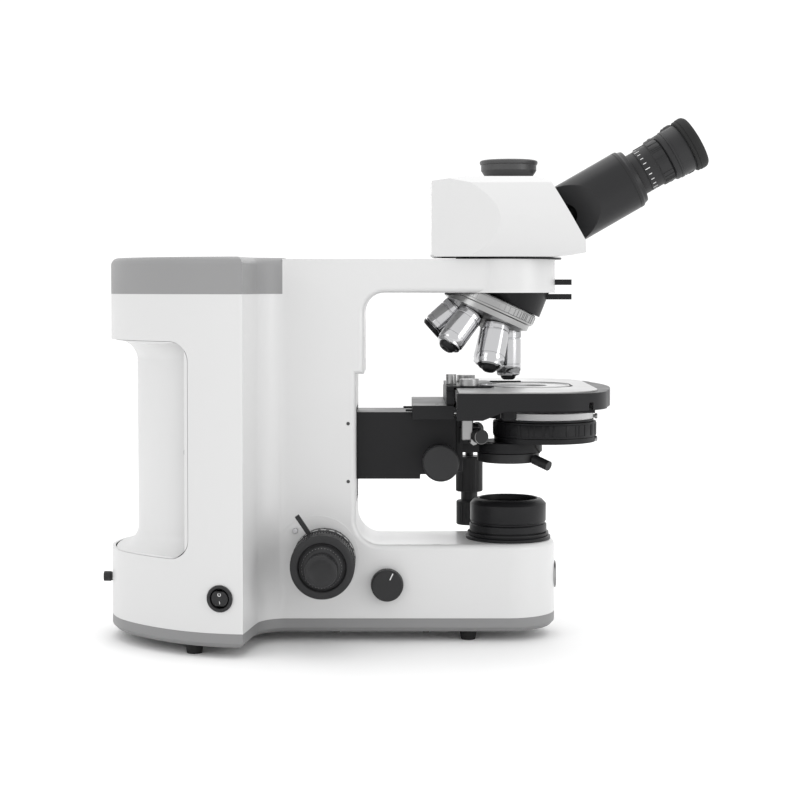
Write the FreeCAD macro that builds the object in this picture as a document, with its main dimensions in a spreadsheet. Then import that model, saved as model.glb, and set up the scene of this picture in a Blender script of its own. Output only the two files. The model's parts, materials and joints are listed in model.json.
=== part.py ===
import FreeCAD, Part
import math
import os
import Sketcher
from FreeCAD import Placement, Rotation, Vector

# Upright research microscope, millimetres.
# +X points to the user (front), +Z up. The user's left-hand side, with the power
# switch, is at -Y. The origin is on the table under the middle of the bounding box.

SIZES = {
    # The stand: a low base, a column at the rear and an arm over the stage
    "axis_x": 95.6,               # optical axis
    "foot_height": 9,
    "foot_radius": 8,
    "foot_front_x": 58,
    "foot_front_y": 30,
    "foot_rear_x": -181,
    "foot_rear_y": 88,
    "plate_height": 12.5,         # grey base plate
    "plate_wall": 3,
    "base_top": 87,
    "half_width": 46,             # half the width of base, column and arm
    "nose_front": 137.8,
    "casting_wall": 6,
    "column_front": -42.2,
    "lip_front": -35.2,           # upper column cover, a little proud
    "lip_bottom": 239,
    "base_fillet": 22,
    "arm_fillet": 18,
    "edge_fillet": 5,
    "arm_bottom": 311,
    "arm_top": 341,
    "arm_disc": 49,               # round end of the arm under the head
    # The widened rear: three tangent arcs round the back, a corner, a hollow blend
    "rear_x": -265.2,
    "rear_radius": 88,
    "shoulder_angle": 40.4,
    "side_radius": 190,
    "side_angle": 59.75,
    "flank_radius": 138.7,
    "corner_x": -136.4,
    "seam_x": -139.2,             # parting plane between casting and rear housing
    "blend_start": -103,
    "blend_radius": 26,
    "blend_lean": 9,
    "housing_wall": 3,
    "cap_front": -107.2,
    "cap_bottom": 310,
    "cap_top": 342,
    "cap_fillet": 6.5,
    # Handle recess through the rear housing, with its moulded insert
    "recess_front": -184.2,
    "recess_bottom": 82.4,
    "recess_top": 269.5,
    "recess_corner": 17,
    "neck_x": 57,                 # half axes of the oval grip column
    "neck_y": 80,
    "neck_flare": 19,
    "insert_gap": 0.3,
    # Electrics
    "supply_long": 90,
    "supply_high": 70,
    "supply_deep": 32,
    "switch_x": -156.2,
    "switch_z": 51.5,
    "switch_radius": 11.6,
    "inlet_y": 24,
    "inlet_z": 50,
    "fuse_y": -14,
    "fuse_z": 54,
    "fuse_radius": 4.5,
    "fuse_tip": -271.6,
    "dial_x": -14.6,
    "dial_z": 52,
    "dial_radius": 14.5,
    "dial_depth": 9.5,
    "badge_z": 54,
    "badge_radius": 12.5,
    # Field lens on the base
    "field_flange": 38.75,
    "field_body": 35,
    "field_ring": 34.6,
    "field_tube": 30,
    "field_bore": 26,
    "field_top": 124,
    # Coaxial focus drive
    "focus_x": -70.2,
    "focus_z": 75.5,
    "boss_radius": 38,            # raised disc round the focus drive, set rearwards
    "boss_shift": 7,
    "boss_step": 0.8,
    "set_screw_low": 143.5,
    "set_screw_high": 195,
    "set_screw_radius": 1.5,
    "bearing_radius": 12,
    "bearing_end": 74,
    "shaft_radius": 5,
    "spindle_radius": 3,
    "running_gap": 0.05,
    "free_gap": 0.3,
    "pinion_step": 1,             # pinion teeth over the shaft
    "coarse_radius": 28,
    "coarse_face": 100,
    "fine_radius": 14,
    "fine_face": 122,
    "ring_radius": 28,
    # Slides inside the column and the stage bracket
    "slide_thickness": 5.1,
    "slide_half": 29,
    "bracket_half": 28,
    "bracket_bottom": 144,
    "bracket_top": 204,
    "bracket_front": 15,
    "block_front": 47,
    "block_bottom": 148,
    "block_top": 199.7,
    "focus_down": 18,
    "focus_up": 1.2,
    # Stage
    "carrier_half": 61,
    "carrier_rear": 7.8,
    "carrier_front": 168,
    "carrier_bottom": 200,
    "carrier_top": 212,
    "shelf_top": 210.6,
    "shelf_thickness": 5,
    "stage_rear": 44.8,
    "stage_front": 186.8,
    "stage_bow": 9,
    "stage_half": 116.5,
    "stage_top": 227,
    "stage_slab": 8,
    "stage_rim": 11,
    "stage_bottom": 211,
    "stage_corner": 52,
    "skirt_bottom": 203,
    "surface_thickness": 1.2,
    "opening_half": 36,
    "opening_x": 116,
    "opening_spread": 14,
    "drive_x": 63.8,
    "drive_y": 90,
    # Condenser
    "turret_x": 128.8,
    "turret_radius": 46,
    "turret_bottom": 181,
    "turret_top": 194.6,
    "cover_top": 197,
    "barrel_radius": 18.5,
    "barrel_top": 216.5,
    "lower_radius": 25,
    "lower_bottom": 157,
    "fork_radius": 31,
    "fork_top": 175.5,
    "fork_height": 9,
    "condenser_knob_x": 32.8,
    "condenser_knob_z": 161,
    "condenser_knob": 16,
    # Nosepiece: every objective axis meets the optical axis at the apex
    "apex_z": 339,
    "nose_tilt": 24.25,
    "nose_rim": 43,
    "rim_near": 35,
    "rim_far": 46,
    "seat_reach": 63.2,           # apex to objective shoulder
    "nose_wall": 5,
    "hub_radius": 12,
    "journal_radius": 8,
    "thread_radius": 10,
    "mount_radius": 37,
    # Sliders in the arm and in the nosepiece mount
    "slider_width": 18,
    "slider_height": 5,
    "slider_end": 152.3,
    "slider_upper_z": 318,
    "slider_lower_z": 304.8,
    # Head
    "head_bottom": 343,
    "head_top": 414,
    "head_rear": 24.8,
    "head_half": 62,
    "head_edge_half": 54.6,
    "head_rear_half": 45,
    "head_plane_front": 84.4,
    "head_bulge": 79.5,           # radius of the head's rounded sides
    "tube_lens_radius": 20.9,
    "ring_head_radius": 48,
    "port_radius": 26.25,
    # Binocular tubes
    "tube_tilt": 60,              # from the vertical, so 30 above the table
    "face_x": 146,
    "face_z": 380.6,
    "tube_half_gap": 32,
    "tube_radius": 27.3,
    "tube_length": 68.4,
    "collar_radius": 19.5,
    "collar_end": 88.7,
    "grip_radius": 20.5,
    "grip_end": 99.7,
    "eyepiece_radius": 22.2,
    "cup_start": 119.9,
    "cup_radius": 24.75,
    "cup_end": 131.7,
    "sleeve_radius": 15,
}

doc = FreeCAD.newDocument("Microscope")
sheet = doc.addObject("Spreadsheet::Sheet", "dims")
for row, (alias, number) in enumerate(SIZES.items(), start=1):
    sheet.set(f"A{row}", alias)
    sheet.set(f"B{row}", str(number))
    sheet.setAlias(f"B{row}", alias)
doc.recompute()


class Size:
    """A length that keeps its number and the spreadsheet expression behind it."""

    def __init__(self, text, number):
        self.text = text
        self.number = float(number)

    def __add__(self, other):
        other = size(other)
        return Size(f"({self.text} + {other.text})", self.number + other.number)

    def __sub__(self, other):
        other = size(other)
        return Size(f"({self.text} - {other.text})", self.number - other.number)

    def __mul__(self, other):
        other = size(other)
        return Size(f"({self.text} * {other.text})", self.number * other.number)

    def __truediv__(self, other):
        other = size(other)
        return Size(f"({self.text} / {other.text})", self.number / other.number)

    def __neg__(self):
        return Size(f"(0 - {self.text})", -self.number)

    def __radd__(self, other):
        return size(other) + self

    def __rsub__(self, other):
        return size(other) - self

    def __rmul__(self, other):
        return size(other) * self


def size(value):
    """A plain number as a Size; a Size stays as it is."""
    if isinstance(value, Size):
        return value
    return Size(repr(float(value)), value)


def sine(angle):
    return Size(f"sin({angle.text} * 1deg)", math.sin(math.radians(angle.number)))


def cosine(angle):
    return Size(f"cos({angle.text} * 1deg)", math.cos(math.radians(angle.number)))


def root(value):
    return Size(f"sqrt({value.text})", math.sqrt(value.number))


class Dimensions:
    """The sheet's cells as Sizes: d.base_top is the cell with the alias base_top."""


d = Dimensions()
for alias in SIZES:
    setattr(d, alias, Size(f"dims.{alias}", sheet.get(alias)))

plate_top = d.foot_height + d.plate_height
nose_centre = d.nose_front - d.half_width


def bind(item, prop, value):
    """Set a property from a Size, and bind it to the sheet."""
    value = size(value)
    if "dims." in value.text:
        item.setExpression(prop, value.text)
    else:
        item.setExpression(prop, None)
        setattr(item, prop, value.number)


def place(item, x=0, y=0, z=0, turn=None):
    """Put a sub-part at a bound point, turned by a fixed rotation."""
    x, y, z = size(x), size(y), size(z)
    point = Vector(x.number, y.number, z.number)
    item.Placement = Placement(point, turn or Rotation())
    for axis, value in zip("xyz", (x, y, z)):
        if "dims." in value.text:
            item.setExpression(f"Placement.Base.{axis}", value.text)
    return item


TO_NEAR = Rotation(Vector(1, 0, 0), 90)      # a turned piece's axis along -Y
TO_FAR = Rotation(Vector(1, 0, 0), -90)      # along +Y
TO_FRONT = Rotation(Vector(0, 1, 0), 90)     # along +X
TO_REAR = Rotation(Vector(0, 1, 0), -90)     # along -X


def new_body(label):
    body = doc.addObject("PartDesign::Body", "Body")
    body.Label = label
    return body


def sketch_on(body, plane, offset=0):
    """An empty sketch on one of the body's own origin planes, raised by offset."""
    support = [f for f in body.Origin.OriginFeatures if f.Role == plane][0]
    sketch = body.newObject("Sketcher::SketchObject", "Sketch")
    sketch.AttachmentSupport = [(support, "")]
    sketch.MapMode = "FlatFace"
    offset = size(offset)
    sketch.AttachmentOffset = Placement(Vector(0, 0, offset.number), Rotation())
    if "dims." in offset.text:
        sketch.setExpression("AttachmentOffset.Base.z", offset.text)
    return sketch


def arc_between(start, end, radius, clockwise):
    """The shorter arc from start to end, as a circle arc that runs anticlockwise."""
    if clockwise:
        start, end = end, start
    middle = (start + end) * 0.5
    half = (end - start) * 0.5
    rise = math.sqrt(max(radius ** 2 - half.Length ** 2, 0.0))
    normal = Vector(-half.y, half.x, 0).normalize()
    centre = middle + normal * rise
    first = math.atan2(start.y - centre.y, start.x - centre.x)
    last = math.atan2(end.y - centre.y, end.x - centre.x)
    if last < first:
        last += 2 * math.pi
    return Part.ArcOfCircle(Part.Circle(centre, Vector(0, 0, 1), radius), first, last)


def constrain(sketch, kind, *args):
    """Add a driving constraint whose value is a Size, and bind it to the sheet."""
    value = size(args[-1])
    index = sketch.addConstraint(Sketcher.Constraint(kind, *args[:-1], value.number))
    if "dims." in value.text:
        sketch.setExpression(f"Constraints[{index}]", value.text)


def outline(sketch, points):
    """A closed outline. A point is (across, up), or (across, up, radius, way) when an
    arc of that radius, "cw" or "ccw", leads on to the next point."""
    spots = [Vector(size(p[0]).number, size(p[1]).number, 0) for p in points]
    first = sketch.GeometryCount
    ends = []
    for index, point in enumerate(points):
        start, end = spots[index], spots[(index + 1) % len(spots)]
        if len(point) == 2:
            sketch.addGeometry(Part.LineSegment(start, end))
            ends.append((1, 2))
        else:
            clockwise = point[3] == "cw"
            sketch.addGeometry(arc_between(start, end, size(point[2]).number, clockwise))
            ends.append((2, 1) if clockwise else (1, 2))
    count = len(points)
    for index in range(count):
        after = (index + 1) % count
        sketch.addConstraint(Sketcher.Constraint(
            "Coincident", first + index, ends[index][1], first + after, ends[after][0]))
    for index, point in enumerate(points):
        constrain(sketch, "DistanceX", -1, 1, first + index, ends[index][0], point[0])
        constrain(sketch, "DistanceY", -1, 1, first + index, ends[index][0], point[1])
        if len(point) > 2:
            constrain(sketch, "Radius", first + index, point[2])
    return sketch


def circle(sketch, x, y, radius):
    x, y, radius = size(x), size(y), size(radius)
    shape = Part.Circle(Vector(x.number, y.number, 0), Vector(0, 0, 1), radius.number)
    index = sketch.addGeometry(shape)
    constrain(sketch, "DistanceX", -1, 1, index, 3, x)
    constrain(sketch, "DistanceY", -1, 1, index, 3, y)
    constrain(sketch, "Radius", index, radius)
    return sketch


def pad(body, sketch, length):
    feature = body.newObject("PartDesign::Pad", "Pad")
    feature.Profile = sketch
    bind(feature, "Length", length)
    return feature


def pocket(body, sketch, length, both_ways=False, reverse=False):
    feature = body.newObject("PartDesign::Pocket", "Pocket")
    feature.Profile = sketch
    if both_ways:
        feature.SideType = "Symmetric"
    feature.Reversed = reverse
    bind(feature, "Length", length)
    return feature


def revolve(body, sketch):
    feature = body.newObject("PartDesign::Revolution", "Revolution")
    feature.Profile = sketch
    feature.ReferenceAxis = (sketch, ["V_Axis"])
    feature.Angle = 360
    return feature


def dress(body, kind, radius, chosen):
    """Fillet or chamfer the body's edges that pass the chosen test."""
    doc.recompute()
    base = body.Tip
    names = [f"Edge{n}" for n, edge in enumerate(base.Shape.Edges, start=1) if chosen(edge)]
    feature = body.newObject(f"PartDesign::{kind}", kind)
    feature.Base = (base, names)
    bind(feature, "Radius" if kind == "Fillet" else "Size", radius)
    return feature


def turned(label, profile, x=0, y=0, z=0, turn=None):
    """A turned piece: a closed half profile of (radius, height) points."""
    body = new_body(label)
    revolve(body, outline(sketch_on(body, "XZ_Plane"), profile))
    return place(body, x, y, z, turn)


def cylinder_profile(radius, low, high, bore=0):
    """Half section of a plain disc, or of a ring where there is a bore."""
    return [(bore, low), (radius, low), (radius, high), (bore, high)]


def plate(label, points, low, high):
    """A flat piece of one outline, between two heights."""
    body = new_body(label)
    pad(body, outline(sketch_on(body, "XY_Plane", low), points), high - low)
    return body


def block(x0, x1, y0, y1, z0, z1, label="Block"):
    """A box between bound corners."""
    item = doc.addObject("Part::Box", "Box")
    item.Label = label
    bind(item, "Length", size(x1) - x0)
    bind(item, "Width", size(y1) - y0)
    bind(item, "Height", size(z1) - z0)
    return place(item, x0, y0, z0)


def rod(radius, length, x, y, z, turn=None, label="Rod"):
    """A cylinder that starts at a bound point and runs along its turned axis."""
    item = doc.addObject("Part::Cylinder", "Cylinder")
    item.Label = label
    bind(item, "Radius", radius)
    bind(item, "Height", length)
    return place(item, x, y, z, turn)


def join(label, *pieces):
    item = doc.addObject("Part::MultiFuse", "Fuse")
    item.Shapes = list(pieces)
    item.Refine = True
    item.Label = label
    return item


def cut(label, base, *tools):
    item = doc.addObject("Part::Cut", "Cut")
    item.Base = base
    item.Tool = tools[0] if len(tools) == 1 else join(f"{label}_tools", *tools)
    item.Label = label
    return item


def group(label, *pieces):
    """Separate solids that share a node."""
    item = doc.addObject("Part::Compound", "Compound")
    item.Links = list(pieces)
    item.Label = label
    return item


def bar(label, low, high, at, turn):
    """A box given in its own turned frame by two corners."""
    item = doc.addObject("Part::Box", "Box")
    item.Label = label
    for prop, a, b in zip(("Length", "Width", "Height"), low, high):
        bind(item, prop, size(b) - a)
    corner = turn.multVec(Vector(*[size(v).number for v in low])) + at
    item.Placement = Placement(corner, turn)
    return item


NOSE_TURN = Rotation(Vector(0, 1, 0), 180 + d.nose_tilt.number)


def along_nose(distance, turn=NOSE_TURN):
    """The point so far from the apex along the nosepiece's axis, or along a turned one."""
    apex = Vector(d.axis_x.number, 0, d.apex_z.number)
    return apex + turn.multVec(Vector(0, 0, distance))


nodes = []


def node(item):
    nodes.append(item)
    return item


# ---------------------------------------------------------------- plan outlines

def both_sides(half, inset=None, from_tip=False):
    """An outline's +Y half, followed by its mirror image on the -Y side.

    With an inset it closes over the middle of the rear; from_tip tells that the half
    starts on the middle line, at the nose."""
    rear = [] if inset is None else [(d.rear_x + inset, 0, d.rear_radius - inset, "ccw")]
    back = []
    for index in range(len(half) - 1, 0 if from_tip else -1, -1):
        lead = half[index - 1][2:] if index > 0 else ()
        back.append((half[index][0], -size(half[index][1])) + tuple(lead))
    return half + rear + back


def flank():
    """Directions of the two joints between the rear arcs, and the arcs' centres."""
    shoulder = (-cosine(d.shoulder_angle), sine(d.shoulder_angle))
    side = (-cosine(d.side_angle), sine(d.side_angle))
    rear = (d.rear_x + d.rear_radius, size(0))
    step = d.rear_radius - d.side_radius
    middle = (rear[0] + step * shoulder[0], rear[1] + step * shoulder[1])
    step = d.side_radius - d.flank_radius
    front = (middle[0] + step * side[0], middle[1] + step * side[1])
    return shoulder, side, rear, middle, front


def flank_y(x, inset):
    """Half width of the rear's outline at x."""
    centre = flank()[4]
    reach = d.flank_radius - inset
    across = x - centre[0]
    return centre[1] + root(reach * reach - across * across)


def rear_half(start_x, inset):
    """The +Y half of the rear outline, from start_x round to the middle."""
    shoulder, side, rear, middle, front = flank()
    flank_r, side_r = d.flank_radius - inset, d.side_radius - inset
    rear_r = d.rear_radius - inset
    return [
        (start_x, flank_y(start_x, inset), flank_r, "ccw"),
        (middle[0] + side_r * side[0], middle[1] + side_r * side[1], side_r, "ccw"),
        (rear[0] + rear_r * shoulder[0], rear_r * shoulder[1], rear_r, "ccw"),
    ]


def rear_outline(start_x, inset):
    """The rear outline, closed across its front by a line."""
    return both_sides(rear_half(start_x, inset), inset)


def blend_half(inset, start_x=None):
    """The hollow blend from the narrow side out to the corner, for the +Y side."""
    centre_y = d.half_width + d.blend_radius
    reach = d.blend_radius + inset
    if start_x is None:
        first = (d.blend_start, d.half_width - inset, reach, "cw")
    else:
        across = start_x - d.blend_start
        first = (start_x, centre_y - root(reach * reach - across * across), reach, "cw")
    end = (d.blend_start - reach * cosine(d.blend_lean),
           centre_y - reach * sine(d.blend_lean))
    corner_x = d.corner_x - inset
    return [first, end, (corner_x, flank_y(corner_x, inset), d.flank_radius - inset, "ccw")]


def nose_half(inset):
    """The quarter round nose, from its tip to the +Y side."""
    reach = d.half_width - inset
    return [(d.nose_front - inset, 0, reach, "ccw"), (nose_centre, reach)]


def whole_outline(inset):
    """The full footprint: nose, narrow sides, blends, corners and rear."""
    half = nose_half(inset) + blend_half(inset) + rear_half(d.seam_x, inset)[1:]
    return both_sides(half, inset, from_tip=True)


def frame_outline(inset):
    """The casting's footprint, from the parting plane to the nose."""
    half = nose_half(inset) + blend_half(inset)
    half[-1] = half[-1][:2]
    half.append((d.seam_x, flank_y(d.seam_x, inset)))
    return both_sides(half, from_tip=True)


def cap_outline(inset):
    """The cap's footprint, a little longer than the rear housing below it."""
    half = blend_half(inset, d.cap_front - inset) + rear_half(d.seam_x, inset)[1:]
    return both_sides(half, inset)


# ------------------------------------------------------------------ the casting

def make_casting():
    body = new_body("casting_shell")
    pad(body, outline(sketch_on(body, "XY_Plane", plate_top), frame_outline(0)),
        d.arm_top - plate_top)
    beyond = d.nose_front + d.arm_disc
    window = outline(sketch_on(body, "XZ_Plane"), [
        (beyond, d.base_top),
        (d.column_front + d.base_fillet, d.base_top, d.base_fillet, "cw"),
        (d.column_front, d.base_top + d.base_fillet),
        (d.column_front, d.lip_bottom),
        (d.lip_front, d.lip_bottom),
        (d.lip_front, d.arm_bottom - d.arm_fillet, d.arm_fillet, "cw"),
        (d.lip_front + d.arm_fillet, d.arm_bottom),
        (beyond, d.arm_bottom),
    ])
    pocket(body, window, 4 * d.half_width, both_ways=True)
    dress(body, "Fillet", d.edge_fillet, window_edge)
    round_end = circle(sketch_on(body, "XY_Plane", d.arm_bottom),
                       d.nose_front - d.arm_disc, 0, d.arm_disc)
    pad(body, round_end, d.arm_top - d.arm_bottom)
    doc.recompute()
    wall = d.casting_wall
    inner = d.half_width - wall
    back = d.column_front - wall
    relief = rod(d.nose_rim + 1.7, 60, 0, 0, 0, label="rim_relief")
    relief.Placement = Placement(along_nose(d.rim_near.number - 1.5), NOSE_TURN)
    tools = [
        block(d.seam_x - 1, d.cap_front, -150, 150, d.cap_bottom, d.arm_top + 1),
        base_hollow(),
        block(d.seam_x - 1, back, -inner, inner, plate_top - 1, d.arm_top - wall),
        block(back - 1, 36, -inner, inner, d.arm_bottom + wall, d.arm_top - wall),
        block(back - 1, d.column_front + 1, -d.bracket_half - 1.5, d.bracket_half + 1.5,
              d.bracket_bottom - d.focus_down - 3, d.bracket_top + d.focus_up + 3),
        rod(d.tube_lens_radius + 0.1, 60, d.axis_x, 0, d.arm_bottom - 1),
        rod(d.field_tube - 2, 20, d.axis_x, 0, d.base_top - 12),
        rod(d.badge_radius + 0.2, 20, d.nose_front - 3.3, 0, d.badge_z, TO_FRONT),
        block(80, 160, -d.slider_width / 2 - 0.3, d.slider_width / 2 + 0.3,
              d.slider_upper_z - 0.2, d.slider_upper_z + d.slider_height + 0.2),
        rod(3.3, 20, d.dial_x, -d.half_width + 10, d.dial_z, TO_NEAR),
        relief,
    ]
    for side in (-1, 1):
        turn = TO_NEAR if side < 0 else TO_FAR
        for height in (d.set_screw_low, d.set_screw_high):
            tools.append(rod(d.set_screw_radius + 0.1, 5, d.column_front - 7,
                             side * (d.half_width - 3.5), height, turn))
    proud = d.half_width + d.boss_step
    boss_x = d.focus_x - d.boss_shift
    boss = rod(d.boss_radius, 2 * proud, boss_x, proud, d.focus_z, TO_NEAR)
    above_plate = block(boss_x - 2 * d.boss_radius, boss_x + 2 * d.boss_radius,
                        -2 * proud, 2 * proud, plate_top, d.focus_z + 2 * d.boss_radius)
    boss_disc = doc.addObject("Part::Common", "Boss")
    boss_disc.Base, boss_disc.Tool = boss, above_plate
    bearing = rod(d.bearing_radius, 2 * d.bearing_end, d.focus_x, d.bearing_end,
                  d.focus_z, TO_NEAR)
    hollow = cut("casting_hollow", join("casting_solid", body, boss_disc, bearing),
                 *tools)
    rack_room = block(d.focus_x - 40, d.focus_x + 21, -26, 26, d.focus_z - 40,
                      d.focus_z + 40)
    shaft_hole = rod(d.shaft_radius + d.running_gap, 4 * d.bearing_end, d.focus_x,
                     2 * d.bearing_end, d.focus_z, TO_NEAR)
    return node(cut("frame_casting", hollow, rack_room, shaft_hole))


def base_hollow():
    """The space inside the base."""
    return plate("base_space", frame_outline(d.casting_wall), plate_top - 1,
                 d.base_top - d.casting_wall)


def window_edge(edge):
    """Edges of the working opening that lie on the casting's two sides."""
    box = edge.BoundBox
    low, high = d.base_top.number - 0.1, d.arm_bottom.number + 0.1
    if box.ZMin < low or box.ZMax > high or box.XMax < d.column_front.number - 1:
        return False
    return box.YLength < 0.01 and abs(abs(box.YMin) - d.half_width.number) < 0.01


# ------------------------------------------------------------ housing and covers

def make_housing():
    body = new_body("housing_shell")
    height = d.cap_bottom - plate_top
    pad(body, outline(sketch_on(body, "XY_Plane", plate_top),
                      rear_outline(d.seam_x, 0)), height)
    doc.recompute()
    inner = plate("housing_space", rear_outline(d.seam_x + 1, d.housing_wall),
                  plate_top - 1, d.cap_bottom + 1)
    across, out = switch_frame()
    switch_hole = rod(d.switch_radius - 1.5, 30, 0, 0, 0)
    switch_hole.Placement = Placement(across - out * 20, Rotation(Vector(0, 0, 1), out))
    inlet = block(d.rear_x - 5, d.rear_x + 30, d.inlet_y - 14.2, d.inlet_y + 14.2,
                  d.inlet_z - 24.2, d.inlet_z + 24.2)
    fuse_hole = rod(d.fuse_radius - 0.5, 30, d.rear_x + 20, d.fuse_y, d.fuse_z, TO_REAR)
    return node(cut("rear_housing", body, inner, recess_block(0), switch_hole, inlet,
                    fuse_hole))


def switch_frame():
    """The point of the near side where the switch sits, and the outward normal."""
    x = d.switch_x.number
    centre = flank()[4]
    y = -flank_y(d.switch_x, size(0)).number
    out = Vector(x - centre[0].number, y + centre[1].number, 0).normalize()
    return Vector(x, y, d.switch_z.number), out


def recess_block(gap):
    """The handle opening, cut straight through from side to side."""
    body = new_body("recess_space")
    front = d.recess_front - gap
    low, high = d.recess_bottom + gap, d.recess_top - gap
    round_r = d.recess_corner
    sketch = outline(sketch_on(body, "XZ_Plane"), [
        (d.rear_x - 20, low),
        (front - round_r, low, round_r, "ccw"),
        (front, low + round_r),
        (front, high - round_r, round_r, "ccw"),
        (front - round_r, high),
        (d.rear_x - 20, high),
    ])
    pad(body, sketch, 4 * d.side_radius).SideType = "Symmetric"
    return body


def flared_column(shrink):
    """An oval column whose ends flare out in a quarter round, scaled in Y."""
    reach = d.neck_x.number - shrink
    flare = d.neck_flare.number
    low = d.recess_bottom.number + d.insert_gap.number
    high = d.recess_top.number - d.insert_gap.number
    turn = math.cos(math.radians(45)) * flare
    points = [
        Part.LineSegment(Vector(0, 0, low), Vector(reach + flare, 0, low)),
        Part.Arc(Vector(reach + flare, 0, low),
                 Vector(reach + flare - turn, 0, low + flare - turn),
                 Vector(reach, 0, low + flare)),
        Part.LineSegment(Vector(reach, 0, low + flare), Vector(reach, 0, high - flare)),
        Part.Arc(Vector(reach, 0, high - flare),
                 Vector(reach + flare - turn, 0, high - flare + turn),
                 Vector(reach + flare, 0, high)),
        Part.LineSegment(Vector(reach + flare, 0, high), Vector(0, 0, high)),
        Part.LineSegment(Vector(0, 0, high), Vector(0, 0, low)),
    ]
    face = Part.Face(Part.Wire([p.toShape() for p in points]))
    column = face.revolve(Vector(0, 0, 0), Vector(0, 0, 1), 360)
    stretch = FreeCAD.Matrix()
    stretch.A22 = d.neck_y.number / d.neck_x.number
    column = column.transformGeometry(stretch)
    column.translate(Vector(d.recess_front.number, 0, 0))
    return column


def make_insert():
    """The moulded grip: an oval column, its flared ends and a rear-facing wall."""
    doc.recompute()
    gap = d.insert_gap.number
    skin = d.housing_wall.number
    front = d.recess_front.number
    opening = recess_block(d.insert_gap)
    hull = plate("insert_hull", rear_outline(d.seam_x, 0), plate_top, d.cap_bottom)
    doc.recompute()
    whole = opening.Shape.common(hull.Shape)
    column = flared_column(0)
    inner = flared_column(skin)
    wall = Part.makeBox(skin + gap, 400, 400, Vector(front - skin - gap, -200, 0))
    back = whole.common(wall)
    grip = whole.common(column)
    hollow = Part.makeBox(200, 400, 400, Vector(front - 200, -200, 0)).common(inner)
    low, high = d.recess_bottom.number + gap, d.recess_top.number - gap
    room = Part.makeBox(400, 400, high - low - 2 * skin,
                        Vector(front - 300, -200, low + skin))
    shape = back.fuse(grip).cut(hollow.common(room)).removeSplitter()
    item = doc.addObject("Part::Feature", "Insert")
    item.Shape = shape
    item.Label = "handle_insert"
    return node(item)


def make_cap():
    body = new_body("cap_shell")
    wall = d.housing_wall
    height = d.cap_top - d.cap_bottom
    pad(body, outline(sketch_on(body, "XY_Plane", d.cap_bottom), cap_outline(0)), height)
    top = d.cap_top.number
    dress(body, "Fillet", d.cap_fillet, lambda e: e.BoundBox.ZMin > top - 0.01
          and e.BoundBox.XMin < d.cap_front.number - 1)
    doc.recompute()
    space = plate("cap_space", cap_outline(wall), d.cap_bottom - 1, d.cap_top - wall)
    return node(cut("top_cap", body, space))


def make_base():
    body = new_body("plate_shell")
    pad(body, outline(sketch_on(body, "XY_Plane", d.foot_height), whole_outline(0)),
        d.plate_height)
    low = d.foot_height.number
    dress(body, "Chamfer", 4, lambda e: e.BoundBox.ZMax < low + 0.01)
    space = plate("plate_space", whole_outline(6), d.foot_height + d.plate_wall,
                  plate_top + 1)
    node(cut("base_plate", body, space))
    feet = []
    for x, y in ((d.foot_front_x, d.foot_front_y), (d.foot_rear_x, d.foot_rear_y)):
        for side in (-1, 1):
            foot = doc.addObject("Part::Cone", "Foot")
            bind(foot, "Radius1", d.foot_radius - 1.5)
            bind(foot, "Radius2", d.foot_radius)
            bind(foot, "Height", d.foot_height)
            feet.append(place(foot, x, side * y, 0))
    node(group("feet", *feet))


def make_screws():
    """Base plate screws, grip screws and the small set screws in the column."""
    screws = []
    for x, y in ((118, 22), (20, 36), (-60, 36), (-150, 90), (-215, 55)):
        for side in (-1, 1):
            screws.append(rod(3, 1.5, x, side * y, d.foot_height - 1.5))
    for side in (-1, 1):
        turn = TO_NEAR if side < 0 else TO_FAR
        for height in (d.set_screw_low, d.set_screw_high):
            screws.append(rod(d.set_screw_radius, 2.6, d.column_front - 7,
                              side * (d.half_width - 3.2), height, turn))
        screws.append(rod(2.6, 1.2, d.recess_front - 3.6, side * 90, 174, TO_REAR))
    return node(group("case_screws", *screws))


def make_electrics():
    rear = d.recess_front + 6.2
    node(block(rear, rear + d.supply_deep, -d.supply_long / 2, d.supply_long / 2,
               plate_top + 6, plate_top + 6 + d.supply_high, "power_supply"))
    face = d.rear_x + 5.5
    inlet = cut("inlet_block",
                block(face, face + 22, d.inlet_y - 14, d.inlet_y + 14,
                      d.inlet_z - 24, d.inlet_z + 24),
                block(face - 1, face + 16, d.inlet_y - 8, d.inlet_y + 8,
                      d.inlet_z - 12, d.inlet_z + 12))
    cap = join("fuse_cap", rod(d.fuse_radius - 0.6, 14, d.rear_x + 10, d.fuse_y, d.fuse_z,
                               TO_REAR),
               rod(d.fuse_radius, d.rear_x - d.fuse_tip, d.rear_x, d.fuse_y, d.fuse_z,
                   TO_REAR))
    node(group("power_inlet", inlet, cap))
    across, out = switch_frame()
    r = d.switch_radius
    bezel = turned("switch_bezel", [
        (8.6, -14), (9.6, -14), (9.6, 0.3), (r, 0.3), (r - 0.8, 2.2), (8.6, 2.2)])
    bezel.Placement = Placement(across, Rotation(Vector(0, 0, 1), out))
    node(bezel)
    node(make_rocker(across, out))
    node(turned("dimmer_knob", [
        (0, -12), (3, -12), (3, 0.5), (d.dial_radius - 0.8, 0.5),
        (d.dial_radius, 1.3), (d.dial_radius - 0.7, d.dial_depth),
        (0, d.dial_depth)], d.dial_x, -d.half_width, d.dial_z, TO_NEAR))
    node(turned("front_badge", cylinder_profile(d.badge_radius, 0, 4.3),
                d.nose_front - 3.2, 0, d.badge_z, TO_FRONT))


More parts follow.
